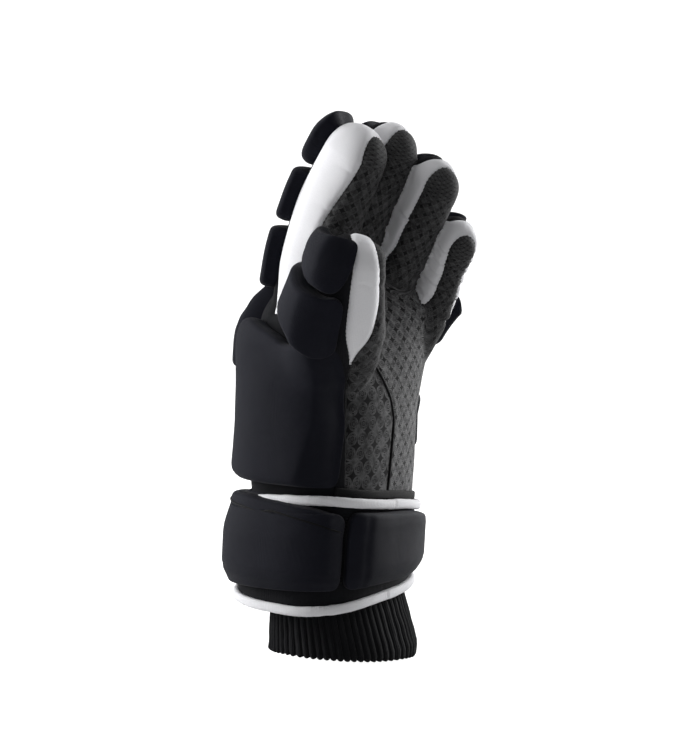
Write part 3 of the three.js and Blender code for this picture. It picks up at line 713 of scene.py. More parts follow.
def maths(tree, operation, a, b=0.0, clamp=False):
    made = add_node(tree, "ShaderNodeMath", operation=operation, use_clamp=clamp)
    for i, value in enumerate((a, b)):
        if isinstance(value, bpy.types.NodeSocket):
            tree.links.new(value, made.inputs[i])
        else:
            made.inputs[i].default_value = value
    return made.outputs[0]


# "rubbed dye": slow changes of shade over a piece, with lighter worn patches, from a place in
# metres. All the cloths of the glove have it.
dye, dye_in, dye_out = new_group(
    "rubbed dye",
    [("Place", "NodeSocketVector", None), ("Patch Size", "NodeSocketFloat", 0.03),
     ("Contrast", "NodeSocketFloat", 1.0)],
    [("Shade", "NodeSocketFloat")],
)
per_patch = maths(dye, "DIVIDE", 1.0, dye_in.outputs["Patch Size"])
patches = add_node(dye, "ShaderNodeTexNoise",
                   {"Vector": dye_in.outputs["Place"], "Scale": per_patch, "Detail": 4.0,
                    "Roughness": 0.6})
middle = maths(dye, "SUBTRACT", patches.outputs["Fac"], 0.5)
shade = maths(dye, "MULTIPLY", middle, dye_in.outputs["Contrast"])
dye.links.new(maths(dye, "ADD", shade, 0.5, clamp=True), dye_out.inputs["Shade"])


def cloth_material(name, patch, contrast):
    # A cloth's material with its flat cut, its place on the glove and its rubbed dye at hand.
    material = bpy.data.materials.new(name)
    material.use_nodes = True
    tree = material.node_tree
    cut = add_node(tree, "ShaderNodeAttribute", attribute_name="cut").outputs["Vector"]
    where = add_node(tree, "ShaderNodeTexCoord").outputs["Object"]
    worn = add_node(tree, "ShaderNodeGroup", node_tree=dye)
    tree.links.new(where, worn.inputs["Place"])
    worn.inputs["Patch Size"].default_value = patch
    worn.inputs["Contrast"].default_value = contrast
    return material, tree, tree.nodes["Principled BSDF"], cut, where, worn.outputs["Shade"]


def shade_between(tree, share, dark, light):
    colour = add_node(tree, "ShaderNodeMix", data_type="RGBA")
    tree.links.new(share, colour.inputs["Factor"])
    for key, shade in (("A", dark), ("B", light)):
        if isinstance(shade, bpy.types.NodeSocket):
            tree.links.new(shade, colour.inputs[key])
        else:
            colour.inputs[key].default_value = (*shade, 1)
    return colour.outputs["Result"]


def raise_cloth(tree, shader, height, distance, strength=1.0):
    bump = add_node(tree, "ShaderNodeBump", {
        "Strength": strength, "Distance": distance, "Height": height,
    })
    tree.links.new(bump.outputs["Normal"], shader.inputs["Normal"])


# The print: a traditional lattice of touching rings with small dark diamonds between them.
lattice, lattice_in, lattice_out = new_group(
    "ring lattice print",
    [("Place", "NodeSocketVector", None), ("Pitch", "NodeSocketFloat", 4.8),
     ("Narrowing", "NodeSocketFloat", 1.35)],
    [("Ink", "NodeSocketFloat")],
)
blur = add_node(lattice, "ShaderNodeTexNoise",
                {"Vector": lattice_in.outputs["Place"], "Scale": 0.55, "Detail": 4.0})
pair = add_node(lattice, "ShaderNodeSeparateXYZ", {"Vector": lattice_in.outputs["Place"]})
narrowed = maths(lattice, "MULTIPLY", pair.outputs["X"], lattice_in.outputs["Narrowing"])
turns = [
    maths(lattice, "DIVIDE", place, lattice_in.outputs["Pitch"])
    for place in (narrowed, pair.outputs["Y"])
]
cells = [maths(lattice, "SUBTRACT", maths(lattice, "FRACT", turn), 0.5) for turn in turns]


def far_from(dx, dy):
    # How far a place is from a point of its cell, as a share of the pitch.
    a = maths(lattice, "SUBTRACT", cells[0], dx)
    b = maths(lattice, "SUBTRACT", cells[1], dy)
    squares = [maths(lattice, "MULTIPLY", side, side) for side in (a, b)]
    return maths(lattice, "SQRT", maths(lattice, "ADD", *squares))


def line_at(distance, radius, width, strength=1.0):
    off = maths(lattice, "ABSOLUTE", maths(lattice, "SUBTRACT", distance, radius))
    line = maths(lattice, "SUBTRACT", 1.0, maths(lattice, "DIVIDE", off, width), clamp=True)
    return maths(lattice, "MULTIPLY", line, strength)


own_ring = far_from(0, 0)
lines = line_at(own_ring, 0.45, 0.075)
for radius, width, strength in ((0.37, 0.05, 0.75), (0.22, 0.06, 0.85), (0.07, 0.07, 0.7)):
    lines = maths(lattice, "MAXIMUM", lines, line_at(own_ring, radius, width, strength))
for dx, dy in ((-0.5, -0.5), (-0.5, 0.5), (0.5, -0.5), (0.5, 0.5)):
    lines = maths(lattice, "MAXIMUM", lines, line_at(far_from(dx, dy), 0.42, 0.05, 0.8))
# Every second gap between the rings is left dark, and the others hold a small flower.
gap = maths(lattice, "MULTIPLY", maths(lattice, "SUBTRACT", own_ring, 0.445), 18.0, clamp=True)
corner_sum = maths(lattice, "ADD", *[
    maths(lattice, "FLOOR", maths(lattice, "ADD", turn, 0.5)) for turn in turns
])
second = maths(lattice, "ABSOLUTE", maths(lattice, "MODULO", corner_sum, 2.0))
dark_gap = maths(lattice, "MULTIPLY", gap, second)
flower = maths(lattice, "MULTIPLY", gap, maths(lattice, "SUBTRACT", 1.0, second))
lines = maths(lattice, "MAXIMUM", lines, maths(lattice, "MULTIPLY", flower, 0.6))
body = maths(lattice, "MULTIPLY", maths(lattice, "SUBTRACT", 1.0, gap), 0.02)
inked = maths(lattice, "MAXIMUM", lines, body)
broken = maths(lattice, "SUBTRACT", blur.outputs["Fac"], 0.18)
broken = maths(lattice, "MULTIPLY", broken, 2.4, clamp=True)
inked = maths(lattice, "MULTIPLY", inked, broken)
outside_gap = maths(lattice, "SUBTRACT", 1.0, dark_gap)
ink_left = maths(lattice, "MULTIPLY", inked, outside_gap, clamp=True)
lattice.links.new(ink_left, lattice_out.inputs["Ink"])

suede, tree, shader, cut, where, worn = cloth_material("printed_suede", 0.022, 1.6)
print_of = add_node(tree, "ShaderNodeGroup", node_tree=lattice)
tree.links.new(cut, print_of.inputs["Place"])
nap = add_node(tree, "ShaderNodeTexNoise", {"Scale": 900.0, "Detail": 3.0, "Vector": where})
ground = shade_between(tree, worn, (0.004, 0.004, 0.0044), (0.013, 0.013, 0.0135))
# The print fades by the cut's third number: fainter on the digits, and on the ball's outer side as
# painted shade.
rubbed = add_node(tree, "ShaderNodeSeparateXYZ", {"Vector": cut}).outputs["Z"]
fading = maths(tree, "SUBTRACT", 1.0, maths(tree, "MULTIPLY", rubbed, 0.6))
wear = maths(tree, "ADD", maths(tree, "MULTIPLY", worn, 0.6), 0.6)
strength = maths(tree, "MULTIPLY", wear, fading)
strength = maths(tree, "MULTIPLY", print_of.outputs["Ink"], strength, clamp=True)
inked_cloth = shade_between(tree, strength, ground, (0.26, 0.26, 0.265))
tree.links.new(inked_cloth, shader.inputs["Base Color"])
shader.inputs["Roughness"].default_value = 0.78
shader.inputs["Specular IOR Level"].default_value = 0.12
shader.inputs["Sheen Weight"].default_value = 0.03
shader.inputs["Sheen Roughness"].default_value = 0.5
relief = maths(tree, "MULTIPLY", print_of.outputs["Ink"], 0.6)
relief = maths(tree, "ADD", relief, nap.outputs["Fac"])
raise_cloth(tree, shader, relief, 0.00012, 0.8)
sew_on(skin_panel("palm_cloth", in_palm), suede, "palm_panel")

# Back panel: black stretch cloth over the back of the hand and digits. The foam pads are sewn
# down on it, and it shows between them.
# "jersey knit": the V-shaped loops of fine knitted cloth, from a place in millimetres. It gives
# the height of the yarn and a fleck of its dye.
jersey, jersey_in, jersey_out = new_group(
    "jersey knit",
    [("Place", "NodeSocketVector", None), ("Loop Width", "NodeSocketFloat", 0.6),
     ("Loop Height", "NodeSocketFloat", 0.45)],
    [("Height", "NodeSocketFloat"), ("Fleck", "NodeSocketFloat")],
)
split = add_node(jersey, "ShaderNodeSeparateXYZ", {"Vector": jersey_in.outputs["Place"]})
wale = maths(jersey, "DIVIDE", split.outputs["X"], jersey_in.outputs["Loop Width"])
course = maths(jersey, "DIVIDE", split.outputs["Y"], jersey_in.outputs["Loop Height"])
ridge = maths(jersey, "ABSOLUTE", maths(jersey, "SINE", maths(jersey, "MULTIPLY", wale, math.pi)))
leg = maths(jersey, "SUBTRACT", course, maths(jersey, "MULTIPLY", ridge, 0.45))
leg = maths(jersey, "SINE", maths(jersey, "MULTIPLY", leg, 2 * math.pi))
leg = maths(jersey, "MULTIPLY", leg, 0.35)
yarn = maths(jersey, "ADD", maths(jersey, "POWER", ridge, 0.6), leg)
jersey.links.new(yarn, jersey_out.inputs["Height"])
fleck = add_node(jersey, "ShaderNodeTexNoise",
                 {"Vector": jersey_in.outputs["Place"], "Scale": 1.7, "Detail": 3.0})
jersey.links.new(fleck.outputs["Fac"], jersey_out.inputs["Fleck"])


def knit_material(name, dark, light, loop, relief, roughness, sheen, contrast=1.2, patch=0.03):
    # A knitted cloth: its two shades, loop size and relief in millimetres, and surface.
    material, tree, shader, cut, _, worn = cloth_material(name, patch, contrast)
    knit = add_node(tree, "ShaderNodeGroup", node_tree=jersey)
    tree.links.new(cut, knit.inputs["Place"])
    knit.inputs["Loop Width"].default_value = loop
    knit.inputs["Loop Height"].default_value = loop * 0.75
    fleck_part = maths(tree, "SUBTRACT", knit.outputs["Fleck"], 0.5)
    fleck_part = maths(tree, "MULTIPLY", fleck_part, 0.9)
    # Painted light and shade: the colour is lighter on the tops of the loops and darker in the
    # hollows between them.
    yarn_painted_shade = maths(tree, "SUBTRACT", knit.outputs["Height"], 0.7)
    yarn_painted_shade = maths(tree, "MULTIPLY", yarn_painted_shade, 0.35)
    total = maths(tree, "ADD", maths(tree, "ADD", worn, fleck_part), yarn_painted_shade, clamp=True)
    tree.links.new(shade_between(tree, total, dark, light), shader.inputs["Base Color"])
    rough = maths(tree, "ADD", maths(tree, "MULTIPLY", worn, 0.12), roughness - 0.06)
    tree.links.new(rough, shader.inputs["Roughness"])
    raise_cloth(tree, shader, knit.outputs["Height"], relief * MILLIMETRE)
    shader.inputs["Specular IOR Level"].default_value = 0.1
    shader.inputs["Sheen Weight"].default_value = sheen
    shader.inputs["Sheen Roughness"].default_value = 0.45
    return material


black_stretch = knit_material(
    "black_stretch_cloth", (0.0034, 0.0036, 0.0048), (0.0088, 0.0092, 0.0115),
    0.7, 0.10, 0.82, 0.05,
)
sew_on(skin_panel("back_cloth", in_back), black_stretch, "back_panel")

# Gussets: white stretch knit down both sides and over the tip of every digit, let in between the
# palm panel and the back panel.
white_stretch = knit_material(
    "white_stretch_knit", (0.80, 0.80, 0.83), (0.90, 0.90, 0.92), 0.55, 0.05, 0.75, 0.05, 0.8, 0.02
)
for i, name in enumerate(digit_names):
    gusset = skin_panel(name + "_side_knit", in_gusset & (corner_owner == i))
    sew_on(gusset, white_stretch, name + "_gusset")

# Foam pads on the hand: blocks of closed foam under one cover of fine black stretch cloth, sewn
# down round their edges. The big one wraps the hand's side above the thumb's root and is folded
# to a flat sewn strip towards the palm; behind it stands the knuckle pad.
ROUND_STEP = 0.02
FOOT_DEPTH = 1.6
GRID_STEP = 1.25
CROWN = 0.35
EASE_UNDER = 0.45
LOOK_DOWN = 24.0


def surface_lift(form, angle, along, lift, step_along=0.5):
    # Points that stand a lift in millimetres off a form, square to its face.
    here = form(angle, along)
    ahead = form(angle, along + step_along) - form(angle, along - step_along)
    round_it = form(angle + ROUND_STEP, along) - form(angle - ROUND_STEP, along)
    out = np.cross(round_it, ahead)
    out /= np.maximum(np.linalg.norm(out, axis=-1, keepdims=True), 1e-12)
    return here + out * lift[..., None]


def pad_rings(thick, chamfer):
    # The edge of a pad from its sewn foot to its crown: distance in from the outline, lift.
    rings = [
        (0.8, -FOOT_DEPTH), (0.2, 0.1), (0.0, 0.24 * thick), (0.0, 0.42 * thick),
        (0.2, 0.56 * thick),
    ]
    for k in range(1, 6):
        turn = k / 5 * math.pi / 2
        rings.append((0.2 + (chamfer - 0.2) * (1 - math.cos(turn)),
                      thick * (0.56 + 0.44 * math.sin(turn))))
    rings.append((chamfer + 1.1, thick))
    return rings


def pad_grid(size, rings, corner):
    # Places over a pad from -1 to 1 both ways, close together along its edge and drawn in at its
    # round corners; also how many rings in from the edge each is, and how far from the middle.
    lines = []
    for length in size:
        half = length / 2
        edge = np.array([min(inset, half * 0.8) for inset, _ in rings])
        count = max(int((length - 2 * edge[-1]) / GRID_STEP), 3)
        inner = np.linspace(-half + edge[-1], half - edge[-1], count + 2)[1:-1]
        lines.append(np.concatenate([-half + edge, inner, (half - edge)[::-1]]) / half)
    a, b = np.meshgrid(*lines)
    row, column = np.indices(a.shape)
    ring_of = np.minimum.reduce([column, row, len(lines[0]) - 1 - column, len(lines[1]) - 1 - row])
    most = np.maximum(np.abs(a), np.abs(b))
    turned = [
        np.maximum(np.abs(value) * length / 2 - (length / 2 - corner), 0)
        for value, length in ((a, size[0]), (b, size[1]))
    ]
    pull = 1 - np.maximum(*turned) / np.maximum(np.hypot(*turned), 1e-9)
    pull = np.where(np.minimum(*turned) > 0, pull, 0)
    a = a - np.sign(a) * turned[0] * pull * 2 / size[0]
    b = b - np.sign(b) * turned[1] * pull * 2 / size[1]
    return a, b, ring_of, most


def lift_over(tree, form, angle, along, step_along):
    # Where the root of a digit bulges past the form, the pad lies on top of it.
    lift = np.zeros_like(angle)
    here = surface_lift(form, angle, along, lift, step_along)
    out = surface_lift(form, angle, along, lift + 1, step_along) - here
    for place in np.ndindex(lift.shape):
        start = Vector(here[place] + LOOK_DOWN * out[place])
        hit = tree.ray_cast(start, Vector(-out[place]), LOOK_DOWN)
        if hit[0] is not None:
            lift[place] = max(LOOK_DOWN - hit[3] - 0.6, 0)
    for _ in range(40):
        wider = np.pad(lift, 1, "edge")
        lift = (wider[:-2, 1:-1] + wider[2:, 1:-1] + wider[1:-1, :-2] + wider[1:-1, 2:]) / 4
    return lift


def foam_pad(name, form, angles, lower, upper, size, thick, chamfer, lean=(0, 0), shape=None,
             corner=6.0, slack=0.28, step_along=0.5, seed=0.0, over=None):
    # angles in degrees of the left and right edge; lower and upper edge as shares of the width
    # and places along the form; size as width and height, corner as its radius, in millimetres.
    rings = pad_rings(thick, chamfer)
    a, b, ring_of, most = pad_grid(size, rings, corner)
    rows, columns = a.shape
    u, v = (a + 1) / 2, (b + 1) / 2
    left, right = angles[0] + lean[0] * v, angles[1] + lean[1] * v
    angle = np.radians(left + u * (right - left))
    along = lower(u) + v * (upper(u) - lower(u))
    lift = np.array([height for _, height in rings])[np.minimum(ring_of, len(rings) - 1)]
    lift = lift + np.where(ring_of >= len(rings) - 2, CROWN * (1 - most**2), 0)
    if shape is not None:
        past = (lift - thick * shape(u, v)) / EASE_UNDER
        lift = np.where(lift > 0, lift - np.log1p(np.exp(past)) * EASE_UNDER, lift)
    if over is not None:
        lift = lift + lift_over(over, form, angle, along, step_along)
    place = form(angle, along).reshape(-1, 3)
    give = slack * waver(place, 15, (seed, 0, 0)) + 0.3 * slack * waver(place, 5, (0, seed, 0))
    lift = lift + np.where(lift > 0.3, give.reshape(lift.shape), 0)
    top = surface_lift(form, angle, along, lift, step_along)
    under = surface_lift(form, angle, along, np.full_like(lift, -FOOT_DEPTH), step_along)
    cut = np.stack([a * size[0] / 2, b * size[1] / 2, 0 * a], -1)
    points, cut = (
        np.concatenate([outer.reshape(-1, 3), inner[1:-1, 1:-1].reshape(-1, 3)])
        for outer, inner in ((top, under), (cut, cut))
    )

    def below(i, k):
        if 0 < i < rows - 1 and 0 < k < columns - 1:
            return rows * columns + (i - 1) * (columns - 2) + k - 1
        return i * columns + k

    faces = []
    for i in range(rows - 1):
        for k in range(columns - 1):
            faces.append((i * columns + k, i * columns + k + 1,
                          (i + 1) * columns + k + 1, (i + 1) * columns + k))
            faces.append((below(i, k), below(i + 1, k), below(i + 1, k + 1), below(i, k + 1)))
    pad = mesh_piece(name, points, faces)
    mark_cut(pad, cut)
    ease = pad.modifiers.new("ease", "SMOOTH")
    ease.factor = 0.5
    ease.iterations = 3
    return pad


black_cover = knit_material(
    "black_pad_cover", (0.0040, 0.0044, 0.0078), (0.0085, 0.0091, 0.0160),
    0.55, 0.07, 0.72, 0.06, 0.9, 0.045,
)


def ridged(u, ridge_at, foot_at, drop):
    # Full up to a ridge, then a facet that falls by a share of the height to its foot.
    fall = np.clip((u - ridge_at) / (foot_at - ridge_at), 0, 1)
    return 1.0 - drop * fall**0.85


def side_shape(u, v):
    # The ridge slants, and the facet ends in the sewn strip at the palm's seam.
    return ridged(u, 0.69 + 0.15 * v, 0.955, 0.78)


def knuckle_shape(u, v):
    # Full at the knuckles, with a long slope up to the roots of the fingers.
    return 1.0 - 0.55 * np.clip((v - 0.55) / 0.45, 0, 1)


def no_change(value):
    return curve([(0, value), (1, value)])


skin_tree = BVHTree.FromPolygons(table[:, :3].tolist(), corners.tolist())
HAND_PADS = (
    # pad and node, edges in degrees and how they lean, lower and upper edge in millimetres up,
    # width and height, lift, chamfer, shape
    ("side_pad", (214, 314), (9, 0), [(0, 97), (0.15, 91.5), (1, 88)],
     [(0, 150), (0.1, 160), (0.25, 167), (0.4, 168), (0.68, 157), (1, 154.5)],
     (78, 68), 9.8, 3.4, side_shape),
    ("knuckle_pad", (148, 218), (0, 12), [(0, 143), (1, 143)], [(0, 184), (1, 184)],
     (58, 41), 13.4, 3.6, knuckle_shape),
    ("hand_back_pad", (140, 212), (0, 0), [(0, 90), (1, 90)], [(0, 139), (1, 139)],
     (58, 49), 9.8, 3.4, None),
    ("little_side_pad_upper", (62, 128), (0, 0), [(0, 153), (1, 153)], [(0, 174), (1, 174)],
     (40, 21), 7.8, 2.6, None),
    ("little_side_pad_lower", (65, 128), (0, 0), [(0, 99), (1, 99)], [(0, 130), (1, 130)],
     (40, 31), 7.8, 2.6, None),
)
for k, (name, angles, lean, lower, upper, size, thick, chamfer, shape) in enumerate(HAND_PADS):
    pad = foam_pad(
        name + "_cover", hand_form, angles, curve(lower), curve(upper), size, thick, chamfer, lean,
        shape, seed=3.0 * k, over=skin_tree,
    )
    sew_on(pad, black_cover, name)

# Finger pads: three foam blocks down the back of each finger, one to each joint, under the same
# cover. The thumb has two wide ones that wrap its outer side, with a facet towards the palm.
FINGER_PADS = {
    # finger: joint, share of the length from and to, lift at the foot and at the top
    "index": (("base", 0.205, 0.485, 8.4, 8), ("middle", 0.515, 0.795, 7.6, 7.6),
              ("tip", 0.825, 1.5, 8, 6.8)),
    "middle": (("base", 0.235, 0.485, 8.4, 8.4), ("middle", 0.515, 0.785, 8.4, 8),
               ("tip", 0.815, 1.28, 8, 2.6)),
    "ring": (("base", 0.255, 0.485, 8.4, 8.2), ("middle", 0.515, 0.745, 8, 7.2),
             ("tip", 0.775, 1.3, 7, 2.2)),
    "little": (("base", 0.335, 0.545, 7.8, 7.6), ("middle", 0.575, 0.785, 7.6, 6),
               ("tip", 0.815, 1.3, 6, 2.2)),
}
FINGER_PAD_EDGES = (138, 222)
FINGER_PAD_WIDTH = 26
SHARE_STEP = 0.004
for finger, pads in FINGER_PADS.items():
    axis = digit_axes[finger]
    for k, (joint, start, end, thick, at_top) in enumerate(pads):
        height = (min(end, 1) - start) * axis["length"] + max(end - 1, 0) * axis["reach"] * 1.5
        pad = foam_pad(
            finger + "_" + joint + "_cover", digit_forms[finger], FINGER_PAD_EDGES,
            no_change(start), no_change(end), (FINGER_PAD_WIDTH, height), thick, 2.8,
            shape=lambda u, v: 1.02 - (1 - at_top / thick) * v,
            corner=9.0 if joint == "tip" else 5.5,
            slack=0.2, step_along=SHARE_STEP, seed=2.0 * k + len(finger),
        )
        sew_on(pad, black_cover, finger + "_pad_" + joint)


def thumb_shape(u, v):
    return ridged(u, 0.66 - 0.04 * v, 0.93, 0.66)


THUMB_PADS = (
    # joint, lower and upper edge as share of the length, height, lift, lean of the side edges
    ("base", [(0.25, 0.67), (0.55, 0.61), (0.8, 0.545), (1, 0.54)],
     [(0.1, 0.87), (0.3, 0.87), (0.55, 0.835), (0.8, 0.825), (1, 0.845)], 30, 11.3, (0, 0)),
    ("tip", [(0.3, 0.915), (0.55, 0.86), (0.8, 0.845), (1, 0.87)],
     [(0, 1.3), (0.4, 1.4), (1, 1.66)], 26, 8.8, (0, 4)),
)
THUMB_PAD_EDGES = (122, 262)
THUMB_PAD_WIDTH = 50
for k, (joint, lower, upper, height, thick, lean) in enumerate(THUMB_PADS):
    pad = foam_pad(
        "thumb_" + joint + "_cover", digit_forms["thumb"], THUMB_PAD_EDGES, curve(lower),
        curve(upper), (THUMB_PAD_WIDTH, height), thick, 3.0, lean, thumb_shape, corner=7.0,
        slack=0.22, step_along=SHARE_STEP, seed=7.0 + k,
    )
    sew_on(pad, black_cover, "thumb_pad_" + joint)

# Gauntlet: a short tube of black cloth round the wrist. Its two rims are bound with white tape,
# and the lower one stands off the knitted cuff that comes out of it.
GAUNTLET_OVALS = np.array([
    (10, -6, 7.5, 43, 33, 0),
    (40, -6, 7.5, 44, 34.5, 0),
    (64, -5, 6.5, 44, 34.5, 0),
    (76, -3, 4.5, 43.6, 33.6, 0),
    (92, -2.5, 5, 45.6, 35.1, 2),
], float)
GAUNTLET_CLOTH = 2.2
# The height of each rim by its place round the wrist in degrees.
LOWER_RIM = [
    (-180, 35), (-130, 32), (-70, 28), (-35, 29), (5, 33), (45, 36), (110, 37), (180, 35),
]
UPPER_RIM = [
    (-180, 77), (-135, 77.5), (-95, 82), (-55, 82.2), (-10, 78.4), (30, 74), (60, 72.5), (110, 73),
    (180, 77),
]
DEGREE_LENGTH = 0.75


def rim(rows):
    # A soft closed line round the wrist: height by angle in degrees.
    rows = np.array(rows, float)
    fine = np.arange(-180, 180.0)
    values = np.interp(fine, rows[:, 0], rows[:, 1])
    window = np.hanning(43)
    values = np.convolve(np.pad(values, 21, "wrap"), window / window.sum(), "valid")
    return lambda degrees: np.interp((np.asarray(degrees) + 180) % 360 - 180,
                                     np.append(fine, 180), np.append(values, values[0]))


def gauntlet_form(angle, z, grow=0.0):
    return level_form(GAUNTLET_OVALS, BODY_SQUARENESS)(angle, z, grow + GAUNTLET_CLOTH)


def swept_piece(name, angles, section, closed):
    # section(degrees) gives a ring of points; the piece runs round the wrist through them.
    rings = np.stack([section(degree) for degree in angles])
    count, sides = rings.shape[:2]
    faces = ring_faces(count, sides)
    if closed:
        for k in range(sides):
            n = (k + 1) % sides
            faces.append(((count - 1) * sides + k, (count - 1) * sides + n, n, k))
    else:
        faces.append(tuple(reversed(range(sides))))
        faces.append(tuple(range((count - 1) * sides, count * sides)))
    piece = mesh_piece(name, rings.reshape(-1, 3), faces)
    steps = np.linalg.norm(np.diff(rings, axis=1, append=rings[:, :1]), axis=2)
    flat = np.zeros((count, sides, 3))
    flat[:, :, 0] = np.asarray(angles)[:, None] * DEGREE_LENGTH
    flat[:, :, 1] = np.cumsum(steps, axis=1) - steps
    mark_cut(piece, flat.reshape(-1, 3))
    return piece


lower_rim, upper_rim = rim(LOWER_RIM), rim(UPPER_RIM)


def wrist_line(form, degree, heights, lift):
    # Points up a form at one place round the wrist.
    return surface_lift(form, math.radians(degree) + 0 * heights, heights, lift + 0 * heights)


def band_section(degree):
    heights = np.linspace(lower_rim(degree) + 0.5, upper_rim(degree) - 0.5, 44)
    dip = np.array([0.25 * noise.noise(Vector((degree / 14, h / 9, 2.0))) for h in heights])
    outer = wrist_line(gauntlet_form, degree, heights, dip)
    inner = wrist_line(gauntlet_form, degree, heights[::4], -2.0)
    return np.concatenate([outer[::-1], inner])


black_weave = knit_material(
    "black_gauntlet_cloth", (0.0034, 0.0036, 0.0048), (0.0082, 0.0086, 0.011),
    0.8, 0.12, 0.8, 0.05, 1.3, 0.03,
)
band = swept_piece("gauntlet_cloth", np.arange(0, 360, 1.5), band_section, True)
sew_on(band, black_weave, "gauntlet_band")

# Edge tapes: soft white binding tape folded over each rim and sewn through near its edge.
TAPE_HEIGHT = 4.8
TAPE_LIFT = 3.6


def tape_section(rim_line, seed):
    def section(degree):
        middle = float(rim_line(degree))
        turn = full_turn(20)
        wave = 0.22 * noise.noise(Vector((degree / 7, seed, 0)))
        wave += 0.12 * noise.noise(Vector((degree / 2.2, seed, 4)))
        high = squared(np.cos(turn), 0.75) * (TAPE_HEIGHT / 2 + wave)
        lift = squared(np.sin(turn), 0.8) * (TAPE_LIFT / 2 + 0.5 * wave)
        return wrist_line(gauntlet_form, degree, middle + high, lift + TAPE_LIFT / 2 - 0.6)
    return section


white_tape = knit_material(
    "white_binding_tape", (0.78, 0.78, 0.81), (0.90, 0.90, 0.92), 0.9, 0.16, 0.75, 0.05, 0.9, 0.015
)
for side, rim_line, seed in (("lower", lower_rim, 1.0), ("upper", upper_rim, 5.0)):
    section = tape_section(rim_line, seed)
    tape = swept_piece(side + "_rim_tape", np.arange(0, 360, 1.0), section, True)
    sew_on(tape, white_tape, "gauntlet_tape_" + side)

# Hem binding: a thin black ribbed tape over the cut edge of the palm cloth, above the white tape.
# It is sewn down flat and ends at the side pad and at the little finger's side.
HEM_RISE = 4.4
HEM_HALF_HEIGHT = 2.1


def hem_section(degree):
    middle = float(upper_rim(degree)) + HEM_RISE
    turn = full_turn(16)
    high = squared(np.cos(turn), 0.6) * HEM_HALF_HEIGHT
    lift = squared(np.sin(turn), 0.7) + 0.5
    lift += 0.03 * math.sin(degree * 4.1)
    return wrist_line(hand_form, degree, middle + high, lift)


hem = swept_piece("palm_hem_binding", np.arange(-47, 84.5, 0.7), hem_section, False)
black_tape = knit_material(
    "black_ribbed_tape", (0.004, 0.004, 0.0045), (0.010, 0.010, 0.011),
    0.6, 0.12, 0.75, 0.06, 1.0, 0.02,
)
sew_on(hem, black_tape, "hem_tape")

# Wrist pads: two foam blocks under the black cover, sewn on the gauntlet so that they meet in a
# stitched groove on the thumb's side. The back one has a slanted band along its upper edge.
def sewn_bevel(at, width, drop):
    # A facet that starts at a sewn line and falls to the pad's edge.
    sewn = 0.13 * np.exp(-(((at - width) / 0.018) ** 2))
    return 1 - drop * np.clip((width - at) / width, 0, 1) - sewn


def welt_width(u):
    return 0.05 + 0.24 * np.clip(u - 0.3, 0, 1)


def back_bevel(u, v):
    top = sewn_bevel(1 - v, welt_width(u), 0.3)
    return top * sewn_bevel(v, 0.17, 0.45) * sewn_bevel(1 - u, 0.05, 0.5)


def front_bevel(u, v):
    return sewn_bevel(u, 0.13, 0.4) * sewn_bevel(v, 0.18, 0.42) * sewn_bevel(1 - v, 0.1, 0.25)


WRIST_PADS = {
    # side: edges in degrees, lower and upper edge in millimetres up, width and height, lift, shape
    "back": ((150, 321), [(0, 44), (0.3, 39), (1, 38.5)],
             [(0, 76), (0.35, 83), (0.6, 84), (0.85, 79), (1, 74)], (128, 41), 8.8, back_bevel),
    "front": ((325, 424), [(0, 38), (0.5, 40), (1, 46)],
              [(0, 76), (0.5, 73), (1, 67)], (76, 32), 7.3, front_bevel),
}
for k, (side, (angles, lower, upper, size, thick, bevel)) in enumerate(WRIST_PADS.items()):
    pad = foam_pad(
        "wrist_" + side + "_cover", gauntlet_form, angles, curve(lower), curve(upper), size, thick,
        2.6, shape=bevel, corner=5.0, seed=11.0 + k,
    )
    sew_on(pad, black_cover, "wrist_pad_" + side)

# Knitted cuff: a black ribbed tube with a folded mouth, sewn inside the gauntlet. The ribs stand
# up and down the wrist and draw the mouth's edge into small scallops.
CUFF_OVALS = np.array([
    (-4, 0, 0, 40, 33, 0),
    (4, 0, 0, 41, 33.5, 0),
    (30, -2, 2.0, 39, 28, 0),
    (60, -3, 4.5, 38.5, 28, 0),
    (80, -3, 4.5, 42, 32, 0),
], float)
CUFF_SQUARENESS = 2.2
CUFF_RIBS = 62
CUFF_WALL = 2.6
CUFF_TOP = 75.7
# The fold at the mouth, from inside to outside: height over it, lift, share of the rib's relief.
CUFF_FOLD = np.array([
    (1.5, -CUFF_WALL, 0),
    (0.6, -CUFF_WALL + 0.5, 0.2),
    (0.1, -CUFF_WALL * 0.65, 0.5),
    (0.1, -CUFF_WALL * 0.3, 0.8),
    (0.6, -0.4, 1),
    (1.5, 0, 1),
])
cuff_form = level_form(CUFF_OVALS, CUFF_SQUARENESS)


def cuff_section(degree):
    rib = abs(math.cos(math.radians(degree) * CUFF_RIBS / 2))
    mouth = 3.9 * math.cos(math.radians(degree + 100)) - 0.5 + 0.9 * (1 - rib**0.7)
    rise = np.linspace(mouth + 3, CUFF_TOP, 46)
    heights = np.concatenate([mouth + CUFF_FOLD[:, 0], rise, [CUFF_TOP]])
    slow = 0.5 * noise.noise(Vector((degree / 25, 3.0, 0)))
    ripple = np.array([0.35 * noise.noise(Vector((degree / 9, h / 6, 7.0))) for h in heights])
    lift = 0.95 * rib**0.75 - 0.5 + slow + ripple
    lift[:6] = CUFF_FOLD[:, 1] + lift[:6] * CUFF_FOLD[:, 2]
    lift[-1] = -CUFF_WALL
    outer = wrist_line(cuff_form, degree, heights, lift)
    inner = wrist_line(cuff_form, degree, np.linspace(74, mouth + 3, 14), -CUFF_WALL)
    return np.concatenate([outer, inner])[::-1]


cuff = swept_piece("ribbed_cuff", np.arange(0, 360, 360 / (CUFF_RIBS * 10)), cuff_section, True)
black_rib = knit_material(
    "black_ribbed_knit", (0.0035, 0.0036, 0.0045), (0.009, 0.0093, 0.011),
    0.95, 0.22, 0.9, 0.04, 1.3, 0.02,
)
sew_on(cuff, black_rib, "knit_cuff")

